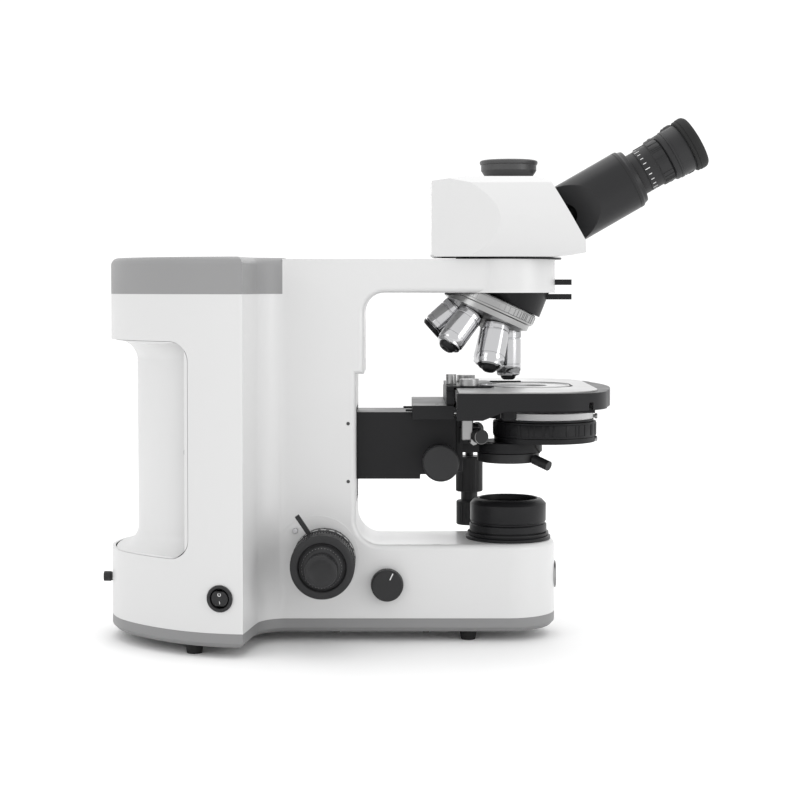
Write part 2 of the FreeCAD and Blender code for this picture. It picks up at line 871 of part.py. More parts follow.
def make_rocker(across, out):
    """A rocker with two tilted faces, in the frame of the switch's axis."""
    turn = Rotation(Vector(out.y, -out.x, 0) * -1, Vector(0, 0, 1), out, "ZXY")
    body = new_body("rocker_blank")
    sketch = outline(sketch_on(body, "YZ_Plane"), [
        (-6.4, -6), (6.4, -6), (6.4, 2.4), (0, 0.9), (-6.4, 0.6)])
    pad(body, sketch, 15).SideType = "Symmetric"
    disc = turned("rocker_round", cylinder_profile(7.4, -7, 5))
    item = doc.addObject("Part::Common", "Rocker")
    item.Base, item.Tool = body, disc
    item.Label = "switch_rocker"
    item.Placement = Placement(across, turn)
    return item


# ------------------------------------------------------------ lamp and base optics

def make_lamp():
    node(join("lamp_module", block(-8, 26, -24, 24, 30, 70),
              rod(14, 12, 26, 0, 52, TO_FRONT)))
    wedge = new_body("folding_mirror")
    pad(wedge, outline(sketch_on(wedge, "XZ_Plane"), [
        (d.axis_x - 18, 30), (d.axis_x + 22, 30), (d.axis_x + 22, 72)]), 40)
    wedge.Tip.SideType = "Symmetric"
    top = d.field_top
    base = d.base_top
    node(turned("field_lens_housing", [
        (d.field_tube - 4, base - 8), (d.field_tube - 2.1, base - 8),
        (d.field_tube - 2.1, base), (d.field_flange, base),
        (d.field_flange, base + 3.5), (d.field_body + 1.5, base + 3.5),
        (d.field_body + 1.5, base + 6), (d.field_body, base + 6.5),
        (d.field_body, base + 14), (d.field_tube, base + 14),
        (d.field_tube, top - 5.5), (d.field_tube - 4, top - 5.5)], d.axis_x))
    inner = d.field_tube + d.running_gap
    low = base + 14 + d.free_gap
    node(turned("field_diaphragm_ring", [
        (inner, low), (d.field_ring - 1.2, low), (d.field_ring - 1.2, low + 1.4),
        (d.field_ring, low + 1.6), (d.field_ring, top - 4), (d.field_ring - 3, top - 0.8),
        (d.field_bore + 1, top), (d.field_bore, top - 0.6), (d.field_bore, top - 5),
        (inner, top - 5)], d.axis_x))
    lens = turned("field_lens", [
        (0, 104), (d.field_tube - 4.1, 106), (d.field_tube - 4.1, 112), (0, 116)], d.axis_x)
    tube_lens = turned("tube_lens", cylinder_profile(d.tube_lens_radius, 326, 334), d.axis_x)
    collector = turned("collector", [(0, 0), (12, 0), (12, 3), (0, 8)], 38.2, 0, 52,
                       TO_FRONT)
    node(group("fixed_optics", lens, tube_lens, collector, wedge))


# ---------------------------------------------------------------- focus mechanism

def make_focus():
    at = (d.focus_x, 0, d.focus_z)
    bore = d.bearing_radius + d.running_gap
    node(turned("tension_ring", [
        (bore, d.half_width + 1.4), (d.ring_radius - 1, d.half_width + 1.4),
        (d.ring_radius, d.half_width + 2.4), (d.ring_radius, 68), (d.ring_radius - 1, 69),
        (bore, 69)], *at, TO_NEAR))
    lever_ring = turned("lever_ring", cylinder_profile(20, 69.3, 73.7, bore), *at, TO_NEAR)
    lean = Rotation(Vector(0, 1, 0), -34)
    lever_bar = bar("lever_bar", (1.8, -73.7, 14), (5.8, -69.3, 47),
                    Vector(d.focus_x.number, 0, d.focus_z.number), lean)
    node(join("lock_lever", lever_ring, lever_bar))
    shaft = d.shaft_radius
    spindle_bore = d.spindle_radius + d.running_gap
    face, back = d.coarse_face, d.bearing_end + 1
    r = d.coarse_radius
    pinion = shaft + d.pinion_step
    node(turned("focus_shaft", [
        (spindle_bore, -face + 6), (shaft, -face + 6), (shaft, -8), (pinion, -8),
        (pinion, 8), (shaft, 8), (shaft, face - 6), (spindle_bore, face - 6)],
        *at, TO_NEAR))
    knob = [(shaft, back), (r - 1.5, back), (r, back + 1.5), (r, face - 1.5),
            (r - 1.5, face), (20.5, face), (20, face - 2.5), (shaft, face - 2.5)]
    node(turned("coarse_knob_left", knob, *at, TO_NEAR))
    node(turned("coarse_knob_right", knob, *at, TO_FAR))
    fine, tip = d.fine_radius, d.fine_face
    neck = face - 2.2
    end = [(d.spindle_radius, neck), (19, neck), (19, neck + 3), (fine, neck + 4),
           (fine, tip - 2), (fine - 2, tip), (10, tip), (8, tip - 1.8), (0, tip - 2.6)]
    node(turned("fine_knob_left", end + [(0, -tip + 12), (d.spindle_radius, -tip + 12)],
                *at, TO_NEAR))
    blind = tip - 11.7
    node(turned("fine_knob_right", [(d.spindle_radius, neck)] + end[1:] + [
        (0, blind), (d.spindle_radius, blind)], *at, TO_FAR))


def make_slides():
    """The coarse slide with its rack face, and the stage bracket on the fine slide."""
    rack_rear = d.focus_x + d.shaft_radius + d.pinion_step + d.free_gap
    rack_front = rack_rear + d.slide_thickness
    node(block(rack_rear, rack_front, -d.slide_half, d.slide_half, 62, 215, "stage_slide"))
    tongue_rear = rack_front + d.free_gap
    tongue_front = d.column_front - d.casting_wall - d.free_gap
    half = d.bracket_half
    body = new_body("bracket_blank")
    pad(body, outline(sketch_on(body, "XZ_Plane"), [
        (tongue_rear, d.bracket_bottom), (d.bracket_front, d.bracket_bottom),
        (d.bracket_front, d.block_bottom), (d.block_front, d.block_bottom),
        (d.block_front, d.block_top), (d.carrier_rear, d.block_top),
        (d.carrier_rear, d.bracket_top), (tongue_rear, d.bracket_top)]), 2 * half)
    body.Tip.SideType = "Symmetric"
    doc.recompute()
    tongue = block(tongue_rear, tongue_front, -half - 8, half + 8, d.bracket_bottom - 8,
                   d.bracket_top + 8)
    hollow = block(d.column_front + 8, d.bracket_front - 10, -half + 6, half - 6,
                   d.bracket_bottom - 1, d.bracket_top - 8)
    knob_bore = rod(3 + d.running_gap, 200, d.condenser_knob_x, 100, d.condenser_knob_z,
                    TO_NEAR)
    rack_slot = block(d.condenser_knob_x - 7, d.block_front + 1, -7, 7,
                      d.block_bottom - 1, d.block_top + 1)
    node(cut("stage_bracket", join("bracket_solid", body, tongue), hollow, knob_bore,
             rack_slot))


# ------------------------------------------------------------------------- stage

def make_stage():
    half = d.carrier_half
    rear, low, high = d.carrier_rear, d.carrier_bottom, d.carrier_top
    shelf = d.shelf_top
    rail_end = d.stage_front - d.stage_rim - 14 - 38 - 3
    rail_top = d.stage_top - d.surface_thickness - d.stage_slab - d.free_gap
    rails = [block(d.stage_rear + 13, rail_end, y - 3, y + 3, shelf - 2, rail_top)
             for y in (5 - half, half - 5)]
    solid = join("carrier_solid",
                 block(rear, d.block_front - 3, -half, half, low, high),
                 block(d.block_front - 4, d.carrier_front, -half, half,
                       shelf - d.shelf_thickness, shelf), *rails,
                 rod(1, 10, rear - 8, -28, high - 3.5, TO_FRONT),
                 rod(1, 10, rear - 6, -34, high - 6, TO_FRONT))
    hole = rod(32, 40, d.axis_x, 0, low - 5)
    node(cut("stage_base", solid, hole, rod(2, 3, rear + 22, -40, high - 2)))

    top = d.stage_top - d.surface_thickness
    slab = d.stage_slab
    c = d.stage_corner
    wide, front, back = d.stage_half, d.stage_front, d.stage_rear
    bow = d.stage_bow
    flat = wide - c
    front_round = (flat * flat + bow * bow) / (2 * bow)
    shape = [
        (back, wide - 3, 3, "cw"), (back + 3, wide), (front - c - bow, wide, c, "cw"),
        (front - bow, flat, front_round, "cw"), (front - bow, -flat, c, "cw"),
        (front - c - bow, -wide), (back + 3, -wide, 3, "cw"), (back, 3 - wide)]
    body = plate("slab_blank", shape, d.stage_bottom, top)
    rim = d.stage_rim
    under = block(back - 5, front - rim - 14, -wide + rim, wide - rim,
                  d.stage_bottom - 20, top - slab)
    skirts = []
    for side in (-1, 1):
        skirt = new_body("skirt")
        y = side * (wide - rim / 2)
        sketch = sketch_on(skirt, "XZ_Plane", -y)
        outline(sketch, [(back, d.skirt_bottom), (back + 22, d.skirt_bottom),
                         (back + 44, d.stage_bottom + 1), (back, d.stage_bottom + 1)])
        pad(skirt, sketch, rim).SideType = "Symmetric"
        skirts.append(skirt)
    opening = opening_hole(d.stage_bottom - 30, d.stage_top + 5, 0)
    drive_hole = rod(4, 40, d.drive_x, d.drive_y, d.skirt_bottom)
    hanger = rod(8, 20, d.drive_x, d.drive_y, d.stage_bottom - 8)
    solid = join("stage_solid", body, *skirts)
    hollow = cut("stage_hollow", solid, under, opening)
    node(cut("stage_plate", join("stage_hung", hollow, hanger), drive_hole))

    border = 1.5
    surface = plate("surface_blank", [
        (back + 2, wide - border), (front - c - 10, wide - border, c + 6, "cw"),
        (front - bow - 8, wide - c - 6), (front - bow - 8, c + 6 - wide, c + 6, "cw"),
        (front - c - 10, border - wide), (back + 2, border - wide)],
        top, d.stage_top)
    node(cut("stage_surface", surface, opening_hole(top - 1, d.stage_top + 1, 1),
             rod(4.5, 10, d.drive_x, d.drive_y, top - 3)))
    at = (d.drive_x, d.drive_y, 0)
    gap = d.running_gap
    node(turned("stage_knob_y", [
        (3 + gap, 119), (12.2, 119), (13, 119.8), (13, 152), (12, 153), (4 - gap, 153),
        (4 - gap, top - 2), (3 + gap, top - 2)], *at))
    node(turned("stage_knob_x", [
        (0, 87), (11.7, 87), (12.5, 87.8), (12.5, 109), (12, 110), (8, 110.5), (8, 118.6),
        (3, 118.6), (3, top - 2), (0, top - 2)], *at))


def opening_hole(low, high, grow):
    """The oblong light opening of the moving stage."""
    r, spread, x = d.opening_half + grow, d.opening_spread, d.opening_x
    return plate("opening_space", [
        (x + r, -spread), (x + r, spread, r, "ccw"), (x, spread + r, r, "ccw"),
        (x - r, spread), (x - r, -spread, r, "ccw"), (x, -spread - r, r, "ccw")],
        low, high)


def make_slide_holder():
    """The left-right carriage: a black rail block, its arm and the sprung finger."""
    top = d.stage_top + 0.3
    rear = d.stage_rear
    low = d.carrier_top + 0.5
    arm_top = top + 1.4
    rail = block(rear - 7.2, rear - 0.4, -58, 58, low, d.stage_top - 3)
    post = block(rear - 7.2, rear - 0.4, -54, 40, low, arm_top)
    arm = block(rear - 7.2, d.axis_x - 18, -54, 40, top, arm_top)
    jaw = block(d.axis_x - 19, d.axis_x - 15.4, -40, 38, top, arm_top)
    fixed = block(d.axis_x - 16, d.axis_x + 14, 34, 38, top, arm_top)
    holder = join("holder_solid", rail, post, arm, jaw, fixed)
    pin_hole = rod(2 + d.running_gap, 10, d.axis_x - 24, -46, top - 1)
    node(cut("slide_holder", holder, pin_hole))
    pin = rod(2, 2.6, d.axis_x - 24, -46, top + 0.05)
    tip = block(d.axis_x - 27, d.axis_x + 12, -48.5, -43.5, arm_top + 0.1, arm_top + 1.3)
    head = rod(3.4, 1.7, d.axis_x - 24, -46, arm_top + 0.1)
    node(join("slide_finger", pin, head, tip))
    thumbs = [rod(8.5, 6, 58, y, arm_top) for y in (-46, 28)]
    post_screw = rod(4.6, 9, rear - 2, -20, arm_top)
    node(group("stage_screws", *thumbs, post_screw))


# --------------------------------------------------------------------- condenser

def make_condenser():
    gap = d.running_gap
    front = d.block_front + d.free_gap
    fork = rod(d.fork_radius, d.fork_height, d.axis_x, 0, d.fork_top - d.fork_height)
    plate_block = block(front, front + 6, -24, 24, 150, 199)
    neck = block(front, d.axis_x, -15, 15, d.fork_top - d.fork_height, d.fork_top)
    rack = block(d.condenser_knob_x + 6.3, front + 1, -6.5, 6.5, 150, 199)
    arms = [block(front + 3, front + 22, side * 24 - 5, side * 24 + 5, 176, 190)
            for side in (-1, 1)]
    solid = join("condenser_solid", fork, plate_block, neck, rack, *arms)
    node(cut("condenser_carrier", solid,
             rod(d.lower_radius + 0.1, 60, d.axis_x, 0, 140)))
    at = (d.condenser_knob_x, 0, d.condenser_knob_z)
    r = d.condenser_knob
    start = d.bracket_half + 16
    end = start + 16
    profile = [(0, -end), (r - 1.5, -end), (r, 1.5 - end), (r, -start), (3, -start), (3, -6),
               (6, -6), (6, 6), (3, 6), (3, start), (r, start), (r, end - 1.5),
               (r - 1.5, end), (0, end)]
    node(turned("condenser_focus_shaft", profile, *at, TO_NEAR))

    low, high = d.turret_bottom, d.turret_top
    cover = d.cover_top
    spindle = turned("condenser_spindle", [
        (0, 176), (d.turret_radius, 176), (d.turret_radius, low - 0.4), (6, low - 0.4),
        (6, high + 0.4), (d.turret_radius - 1.5, high + 0.4),
        (d.turret_radius - 1.5, cover), (0, cover)], d.turret_x)
    barrel = rod(d.barrel_radius, d.barrel_top - cover, d.axis_x, 0, cover)
    lower = rod(d.lower_radius, 176 - d.lower_bottom, d.axis_x, 0, d.lower_bottom)
    light = rod(12, 80, d.axis_x, 0, d.lower_bottom - 5)
    node(cut("condenser_body", join("condenser_whole", spindle, barrel, lower), light))
    disc = turned("turret_blank", cylinder_profile(d.turret_radius + 0.8, low, high,
                                                   6 + gap), d.turret_x)
    holes = []
    for step in range(5):
        angle = math.radians(180 + 72 * step)
        reach = d.turret_x - d.axis_x
        holes.append(rod(11, 40, d.turret_x + reach * math.cos(angle),
                         reach * math.sin(angle), low - 5))
    node(cut("condenser_turret", disc, *holes))
    inner = d.lower_radius + gap
    ring = turned("iris_blank", cylinder_profile(d.lower_radius + 3.2, 158, 165.5, inner),
                  d.axis_x)
    lever_turn = Rotation(Vector(0, 0, 1), Vector(0.72, -0.62, -0.30))
    reach = Vector(0.72, -0.62, 0).normalize() * (d.lower_radius.number + 1.5)
    lever = rod(2.6, 12, 0, 0, 0)
    handle = rod(4.5, 17, 0, 0, 0)
    at = Vector(d.axis_x.number, 0, 161.6) + reach
    lever.Placement = Placement(at, lever_turn)
    handle.Placement = Placement(at + lever_turn.multVec(Vector(0, 0, 3)), lever_turn)
    node(join("iris_ring", ring, lever, handle))
    screws = []
    for side in (-1, 1):
        out = Rotation(Vector(0, 0, 1), Vector(0.35, side * 0.94, 0))
        start = Vector(front.number + 17, side * 30, 183)
        stem = rod(2.5, 8, 0, 0, 0)
        head = rod(6.3, 11, 0, 0, 0)
        stem.Placement = Placement(start, out)
        head.Placement = Placement(start + out.multVec(Vector(0, 0, 4)), out)
        screws.append(join("centring_screw", stem, head))
    node(group("centring_screws", *screws))


# --------------------------------------------------------------------- nosepiece

OBJECTIVES = {
    # name: turn round the nosepiece, length below the shoulder, body radius, tip radius
    "objective_40x": (0, 44, 11.5, 4.5),
    "objective_60x": (60, 43.5, 12.2, 4.5),
    "objective_20x": (120, 41, 12.2, 5.5),
    "objective_4x": (180, 31, 12.2, 10),
    "objective_10x": (240, 36, 12.2, 7),
    "objective_100x": (300, 44, 12.2, 4),
}


def make_nosepiece():
    slope = sine(d.nose_tilt) / cosine(d.nose_tilt)
    seat = d.seat_reach * cosine(d.nose_tilt)
    seat_r = d.seat_reach * sine(d.nose_tilt)
    edge = d.nose_rim - 1.8
    edge_depth = seat - (edge - seat_r) * slope
    tip_depth = seat + (seat_r - 11) * slope
    wall = d.nose_wall
    bore = d.journal_radius + d.running_gap
    blank = turned("turret_bowl", [
        (bore, d.rim_near + 3), (d.hub_radius, d.rim_near + 3),
        (d.hub_radius, tip_depth - wall * 1.6), (edge - wall, edge_depth - 5),
        (edge - wall, d.rim_near), (d.nose_rim - 1, d.rim_near),
        (d.nose_rim, d.rim_near + 1), (d.nose_rim, d.rim_far - 1),
        (d.nose_rim - 1.8, d.rim_far), (edge, edge_depth), (11, tip_depth),
        (0, tip_depth), (0, tip_depth - 4), (bore, tip_depth - 4)], d.axis_x, 0, d.apex_z,
        NOSE_TURN)
    holes = []
    for name, (angle, length, radius, tip) in OBJECTIVES.items():
        turn = objective_turn(angle)
        hole = rod(d.thread_radius + d.running_gap, 20, 0, 0, 0)
        reach = d.seat_reach.number
        hole.Placement = Placement(along_nose(reach - 12, turn), turn)
        holes.append(hole)
        body = make_objective(name, length, radius, tip)
        body.Placement = Placement(along_nose(reach, turn), turn)
        node(body)
    node(cut("nosepiece_turret", blank, *holes))

    cone = turned("mount_cone", [
        (17, 286), (d.mount_radius - 10, 286), (d.mount_radius, d.arm_bottom),
        (17, d.arm_bottom)], d.axis_x)
    above = rod(90, 60, 0, 0, 0)
    above.Placement = Placement(along_nose(d.rim_near.number - 0.6), NOSE_TURN)
    journal = rod(d.journal_radius, 26, 0, 0, 0)
    journal.Placement = Placement(along_nose(d.rim_near.number - 3), NOSE_TURN)
    slot = block(80, 160, -d.slider_width / 2 - 0.3, d.slider_width / 2 + 0.3,
                 d.slider_lower_z - 0.2, d.slider_lower_z + d.slider_height + 0.2)
    light = rod(10, 40, d.axis_x, 0, 280)
    low = block(0, 200, -100, 100, 200, d.arm_bottom)
    trimmed = cut("mount_trimmed", cone, above)
    arm_part = doc.addObject("Part::Common", "Journal")
    arm_part.Base, arm_part.Tool = journal, low
    node(cut("nosepiece_mount", join("mount_solid", trimmed, arm_part), slot, light))


def objective_turn(angle):
    return NOSE_TURN * Rotation(Vector(0, 0, 1), angle) * Rotation(
        Vector(0, 1, 0), -d.nose_tilt.number)


def make_objective(name, length, radius, tip):
    """A barrel with a thread above its shoulder and a tapered nose."""
    return turned(name, [
        (7.5, -4.5), (d.thread_radius, -4.5), (d.thread_radius, 0), (radius - 0.6, 0),
        (radius, 0.6), (radius, length * 0.72), (radius - 0.8, length * 0.74),
        (radius - 0.8, length - 5), (tip + 2.5, length - 1.2), (tip, length),
        (0, length), (0, length - 3), (7.5, length - 9)])


def make_sliders():
    half = d.slider_width / 2
    for name, z in (("slider_upper", d.slider_upper_z), ("slider_lower", d.slider_lower_z)):
        bar_body = block(84, d.slider_end, -half, half, z, z + d.slider_height)
        hole = rod(7, 10, d.axis_x, 0, z - 2)
        node(cut(name, bar_body, hole))


# -------------------------------------------------------------------------- head

def face(up):
    """A point of the head's slanted front face, so far above the tube axes."""
    return (d.face_x - up * cosine(d.tube_tilt), d.face_z + up * sine(d.tube_tilt))


def make_head():
    node(turned("head_mount_ring", cylinder_profile(d.ring_head_radius, d.arm_top,
                                                    d.head_bottom - 0.3, 21), d.axis_x))
    body = new_body("head_blank")
    rear, low, top = d.head_rear, d.head_bottom, d.head_top
    crown = face(33)[0]
    outline_points = [
        (rear + 3, low), (132, low), (d.face_x + 14.4, low + 3.5), face(-26.9), face(33),
        (crown - 10, top), (rear + 30, top), (rear, top - 4), (rear, low + 2)]
    pad(body, outline(sketch_on(body, "XZ_Plane"), outline_points),
        4 * d.head_half).SideType = "Symmetric"
    section = new_body("head_section")
    edge, wide = d.head_edge_half, d.head_half
    bulge = d.head_bulge
    middle = (low + top) / 2
    sketch = outline(sketch_on(section, "YZ_Plane"), [
        (-edge + 8, top), (-edge, top - 6, bulge, "ccw"), (-wide, middle, bulge, "ccw"),
        (-edge, low), (edge, low, bulge, "ccw"), (wide, middle, bulge, "ccw"),
        (edge, top - 6), (edge - 8, top)])
    pad(section, sketch, 400).SideType = "Symmetric"
    shape = doc.addObject("Part::Common", "HeadShape")
    shape.Base, shape.Tool = body, section
    wedges = []
    far = 2 * d.head_half
    for side in (-1, 1):
        points = [(rear - 10, side * (d.head_rear_half - 2.9)),
                  (d.head_plane_front, side * d.head_half),
                  (d.head_plane_front, side * far), (rear - 10, side * far)]
        wedges.append(plate("head_wedge", points, low - 5, top + 5))
    inner = block(rear + 10, 126, -42, 42, low - 1, top - 7)
    port = rod(21, 30, d.axis_x, 0, top - 12)
    tilt = Rotation(Vector(0, 1, 0), d.tube_tilt.number)
    on_face = Vector(d.face_x.number, 0, d.face_z.number)
    slot = bar("tube_window", (-18, -42, -30), (4, 42, 10), on_face, tilt)
    node(cut("head_housing", shape, *wedges, inner, port, slot))
    node(block(d.axis_x - 16, d.axis_x + 16, -16, 16, low + 14, low + 46, "beam_splitter"))
    r = d.port_radius
    node(turned("port_cap", [
        (0, top - 8), (20.8, top - 8), (20.8, top + 0.8), (r - 5.7, top + 0.8),
        (r - 1, top + 8), (r - 1, top + 13.5), (r, top + 14), (r, top + 17), (0, top + 17)],
        d.axis_x))


def make_tubes():
    tilt = Rotation(Vector(0, 1, 0), d.tube_tilt.number)
    on_face = Vector(d.face_x.number, 0, d.face_z.number)
    r, length = d.tube_radius, d.tube_length
    sleeve = d.sleeve_radius
    for name, side in (("left", -1), ("right", 1)):
        at = on_face + Vector(0, side * d.tube_half_gap.number, 0)
        barrel = turned(f"barrel_{name}", [
            (sleeve - 3, 0.4), (r, 0.4), (r, length - 5), (r - 1.5, length - 3.5),
            (r - 2.5, length), (sleeve, length), (sleeve, d.grip_end - 2),
            (sleeve - 3, d.grip_end - 2)])
        barrel.Placement = Placement(at, tilt)
        wedge = new_body("tube_relief")
        pad(wedge, outline(sketch_on(wedge, "YZ_Plane"), [
            (side * 7, -1), (side * 7, 0.4), (side * 40, 44), (side * 60, 44),
            (side * 60, -1)]), 120).SideType = "Symmetric"
        wedge.Placement = Placement(at, tilt)
        node(cut(f"tube_{name}", barrel, wedge))
        bore = sleeve + d.running_gap
        ring = turned(f"diopter_ring_{name}", [
            (bore, length + 0.3), (d.collar_radius, length + 0.3),
            (d.collar_radius, d.collar_end - 1), (d.grip_radius - 0.5, d.collar_end),
            (d.grip_radius, d.collar_end + 0.6), (d.grip_radius, d.grip_end - 0.6),
            (d.grip_radius - 0.6, d.grip_end), (bore, d.grip_end)])
        ring.Placement = Placement(at, tilt)
        node(ring)
        e, c = d.eyepiece_radius, d.cup_radius
        low = d.grip_end + 0.3
        eyepiece = turned(f"eyepiece_{name}", [
            (0, low - 12), (sleeve - 3.2, low - 12), (sleeve - 3.2, low), (e - 1, low),
            (e, low + 1), (e, d.cup_start), (c - 0.5, d.cup_start), (c, d.cup_start + 0.8),
            (c, d.cup_end - 3), (c - 3, d.cup_end), (c - 6, d.cup_end),
            (c - 8, d.cup_end - 6), (0, d.cup_end - 7)])
        eyepiece.Placement = Placement(at, tilt)
        node(eyepiece)


make_casting()
make_housing()
make_cap()
make_base()
make_insert()
make_screws()
make_electrics()
make_lamp()
make_focus()
make_slides()
make_stage()
make_slide_holder()
make_condenser()
make_nosepiece()
make_sliders()
make_head()
make_tubes()

doc.recompute()
faults = [f"{o.Label} {o.State}" for o in doc.Objects
          if "Invalid" in o.State or "Error" in o.State]
for item in nodes:
    if item.Shape.isNull() or not item.Shape.isValid() or not item.Shape.Solids:
        faults.append(f"{item.Label} has no valid solid")
labels = [item.Label for item in nodes]
if len(set(labels)) != len(labels):
    faults.append("two sub-parts share a name")
if faults:
    raise RuntimeError("; ".join(faults))

os.makedirs("parts", exist_ok=True)
for item in nodes:
    item.Shape.exportStep(os.path.join("parts", f"{item.Label}.step"))
    box = item.Shape.BoundBox
    print(f"{item.Label:24s} {len(item.Shape.Solids)} solid(s) {item.Shape.Volume / 1000:9.2f} cm3"
          f"  x {box.XMin:7.1f} {box.XMax:7.1f}  y {box.YMin:7.1f} {box.YMax:7.1f}"
          f"  z {box.ZMin:6.1f} {box.ZMax:6.1f}")
print(len(nodes), "nodes")
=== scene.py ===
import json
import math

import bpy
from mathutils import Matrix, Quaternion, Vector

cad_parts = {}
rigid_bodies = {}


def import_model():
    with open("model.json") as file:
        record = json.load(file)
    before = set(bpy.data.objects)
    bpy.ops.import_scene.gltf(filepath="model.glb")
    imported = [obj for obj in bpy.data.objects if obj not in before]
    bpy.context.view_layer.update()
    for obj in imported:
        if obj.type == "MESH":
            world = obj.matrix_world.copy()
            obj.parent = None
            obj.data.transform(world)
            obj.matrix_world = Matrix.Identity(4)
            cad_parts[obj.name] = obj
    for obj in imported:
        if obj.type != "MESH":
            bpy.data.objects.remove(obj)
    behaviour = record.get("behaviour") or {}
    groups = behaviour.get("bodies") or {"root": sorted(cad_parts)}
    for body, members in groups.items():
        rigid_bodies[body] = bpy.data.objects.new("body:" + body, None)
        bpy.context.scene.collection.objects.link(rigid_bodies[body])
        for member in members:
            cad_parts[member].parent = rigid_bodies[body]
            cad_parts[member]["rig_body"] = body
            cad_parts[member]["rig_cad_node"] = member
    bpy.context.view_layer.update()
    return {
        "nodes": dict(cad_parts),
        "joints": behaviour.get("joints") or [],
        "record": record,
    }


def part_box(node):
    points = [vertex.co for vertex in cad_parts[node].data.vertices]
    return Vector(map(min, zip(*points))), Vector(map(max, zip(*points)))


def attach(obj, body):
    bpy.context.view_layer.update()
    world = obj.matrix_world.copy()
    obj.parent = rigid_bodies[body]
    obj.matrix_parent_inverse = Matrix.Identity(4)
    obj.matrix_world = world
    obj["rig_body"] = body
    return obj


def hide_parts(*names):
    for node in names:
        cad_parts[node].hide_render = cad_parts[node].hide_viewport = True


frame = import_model()

# %% [markdown]
# # A laboratory microscope, finished from its CAD frame
# The CAD model gives every piece its place and its joints. Here each piece gets what the
# solid model leaves out: soft edges, knurled rims, engraved grooves, scale marks and a
# finish.

MM = 0.001
UP = (0, 0, 1)
TO_VIEWER = (0, -1, 0)         # the side that the user has on the left
GAP = 0.3                      # running gap between turned pieces, in millimetres
joints = {joint["name"]: joint for joint in frame["joints"]}
body_of = {node: body for body, members in frame["record"]["behaviour"]["bodies"].items()
           for node in members}

# %% [markdown]
# ## Working by hand, in code
# An operator acts on whatever is selected, so every step starts by clearing the
# selection and picking one piece. Faces are then chosen by where they are, which stays
# true when a size changes, and a finished piece is moved to its place and its transform
# applied, so that patterns on Object coordinates stay put.

# %% Picking and finishing pieces
def pick(piece):
    bpy.ops.object.select_all(action="DESELECT")
    piece.select_set(True)
    bpy.context.view_layer.objects.active = piece


def edit(piece):
    pick(piece)
    bpy.ops.object.mode_set(mode="EDIT")


def leave_edit():
    bpy.ops.object.mode_set(mode="OBJECT")


def smooth(piece, angle=32):
    pick(piece)
    bpy.ops.object.shade_smooth_by_angle(angle=math.radians(angle))


def put(piece, at, axis=(0, 0, 1), spin=0.0):
    """Stand a piece, made upright at the origin, at a point with its axis along axis."""
    turn = Vector((0, 0, 1)).rotation_difference(Vector(axis))
    turn = turn @ Quaternion((0, 0, 1), spin)
    piece.matrix_world = Matrix.Translation(Vector(at)) @ turn.to_matrix().to_4x4()
    pick(piece)
    bpy.ops.object.transform_apply(location=True, rotation=True, scale=True)
    return piece


def joined(name, pieces):
    """Several meshes as one object."""
    bpy.ops.object.select_all(action="DESELECT")
    for piece in pieces:
        piece.select_set(True)
    bpy.context.view_layer.objects.active = pieces[0]
    bpy.ops.object.join()
    pieces[0].name = name
    return pieces[0]


def middle(node):
    low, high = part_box(node)
    return (low + high) / 2


def on_table(point):
    """The spot on the table right under a point."""
    return Vector((point[0], point[1], 0))


def place(x, y, z):
    """A point in the frame, from millimetres."""
    return Vector((x, y, z)) * MM


def measured(node, origin, axis):
    """Nearest and farthest point of a CAD node along an axis, and its widest radius, all in
    millimetres."""
    axis = Vector(axis).normalized()
    reach, radius = [], []
    for vertex in frame["nodes"][node].data.vertices:
        offset = vertex.co - Vector(origin)
        along = offset.dot(axis)
        reach.append(along)
        radius.append((offset - axis * along).length)
    return min(reach) / MM, max(reach) / MM, max(radius) / MM


# %% [markdown]
# ## Finishes
# Nearly everything on this instrument is either painted, anodised or moulded, and all of
# these have a fine grain that only shows in the highlights. One node group makes that
# grain, and a second one gives a slow patchy change of gloss, as handling leaves it. Each
# finish places the gloss group, and the grain group where it is given a depth, with its own
# values, while its plain numbers sit on the shader's sockets.

# %% Two shared effects as node groups
def group_with(name, inputs, output):
    tree = bpy.data.node_groups.new(name, "ShaderNodeTree")
    for label, value in inputs:
        socket = tree.interface.new_socket(label, in_out="INPUT",
                                           socket_type="NodeSocketFloat")
        socket.default_value = value
    tree.interface.new_socket(output, in_out="OUTPUT", socket_type="NodeSocketFloat")
    return tree, tree.nodes.new("NodeGroupInput"), tree.nodes.new("NodeGroupOutput")


def make_grain_group():
    tree, start, end = group_with("moulded grain", [("Fineness", 900.0)], "Height")
    place = tree.nodes.new("ShaderNodeTexCoord")
    noise = tree.nodes.new("ShaderNodeTexNoise")
    noise.inputs["Detail"].default_value = 2.0
    tree.links.new(place.outputs["Object"], noise.inputs["Vector"])
    tree.links.new(start.outputs["Fineness"], noise.inputs["Scale"])
    tree.links.new(noise.outputs["Fac"], end.inputs["Height"])
    return tree


def make_handling_group():
    inputs = [("Low", 0.3), ("High", 0.4), ("Size", 14.0)]
    tree, start, end = group_with("handling gloss", inputs, "Roughness")
    place = tree.nodes.new("ShaderNodeTexCoord")
    noise = tree.nodes.new("ShaderNodeTexNoise")
    noise.inputs["Detail"].default_value = 3.0
    spread = tree.nodes.new("ShaderNodeMapRange")
    spread.inputs["From Min"].default_value = 0.35
    spread.inputs["From Max"].default_value = 0.65
    tree.links.new(place.outputs["Object"], noise.inputs["Vector"])
    tree.links.new(start.outputs["Size"], noise.inputs["Scale"])
    tree.links.new(noise.outputs["Fac"], spread.inputs["Value"])
    tree.links.new(start.outputs["Low"], spread.inputs["To Min"])
    tree.links.new(start.outputs["High"], spread.inputs["To Max"])
    tree.links.new(spread.outputs["Result"], end.inputs["Roughness"])
    return tree


GRAIN = make_grain_group()
HANDLING = make_handling_group()
print("node groups", [GRAIN.name, HANDLING.name])


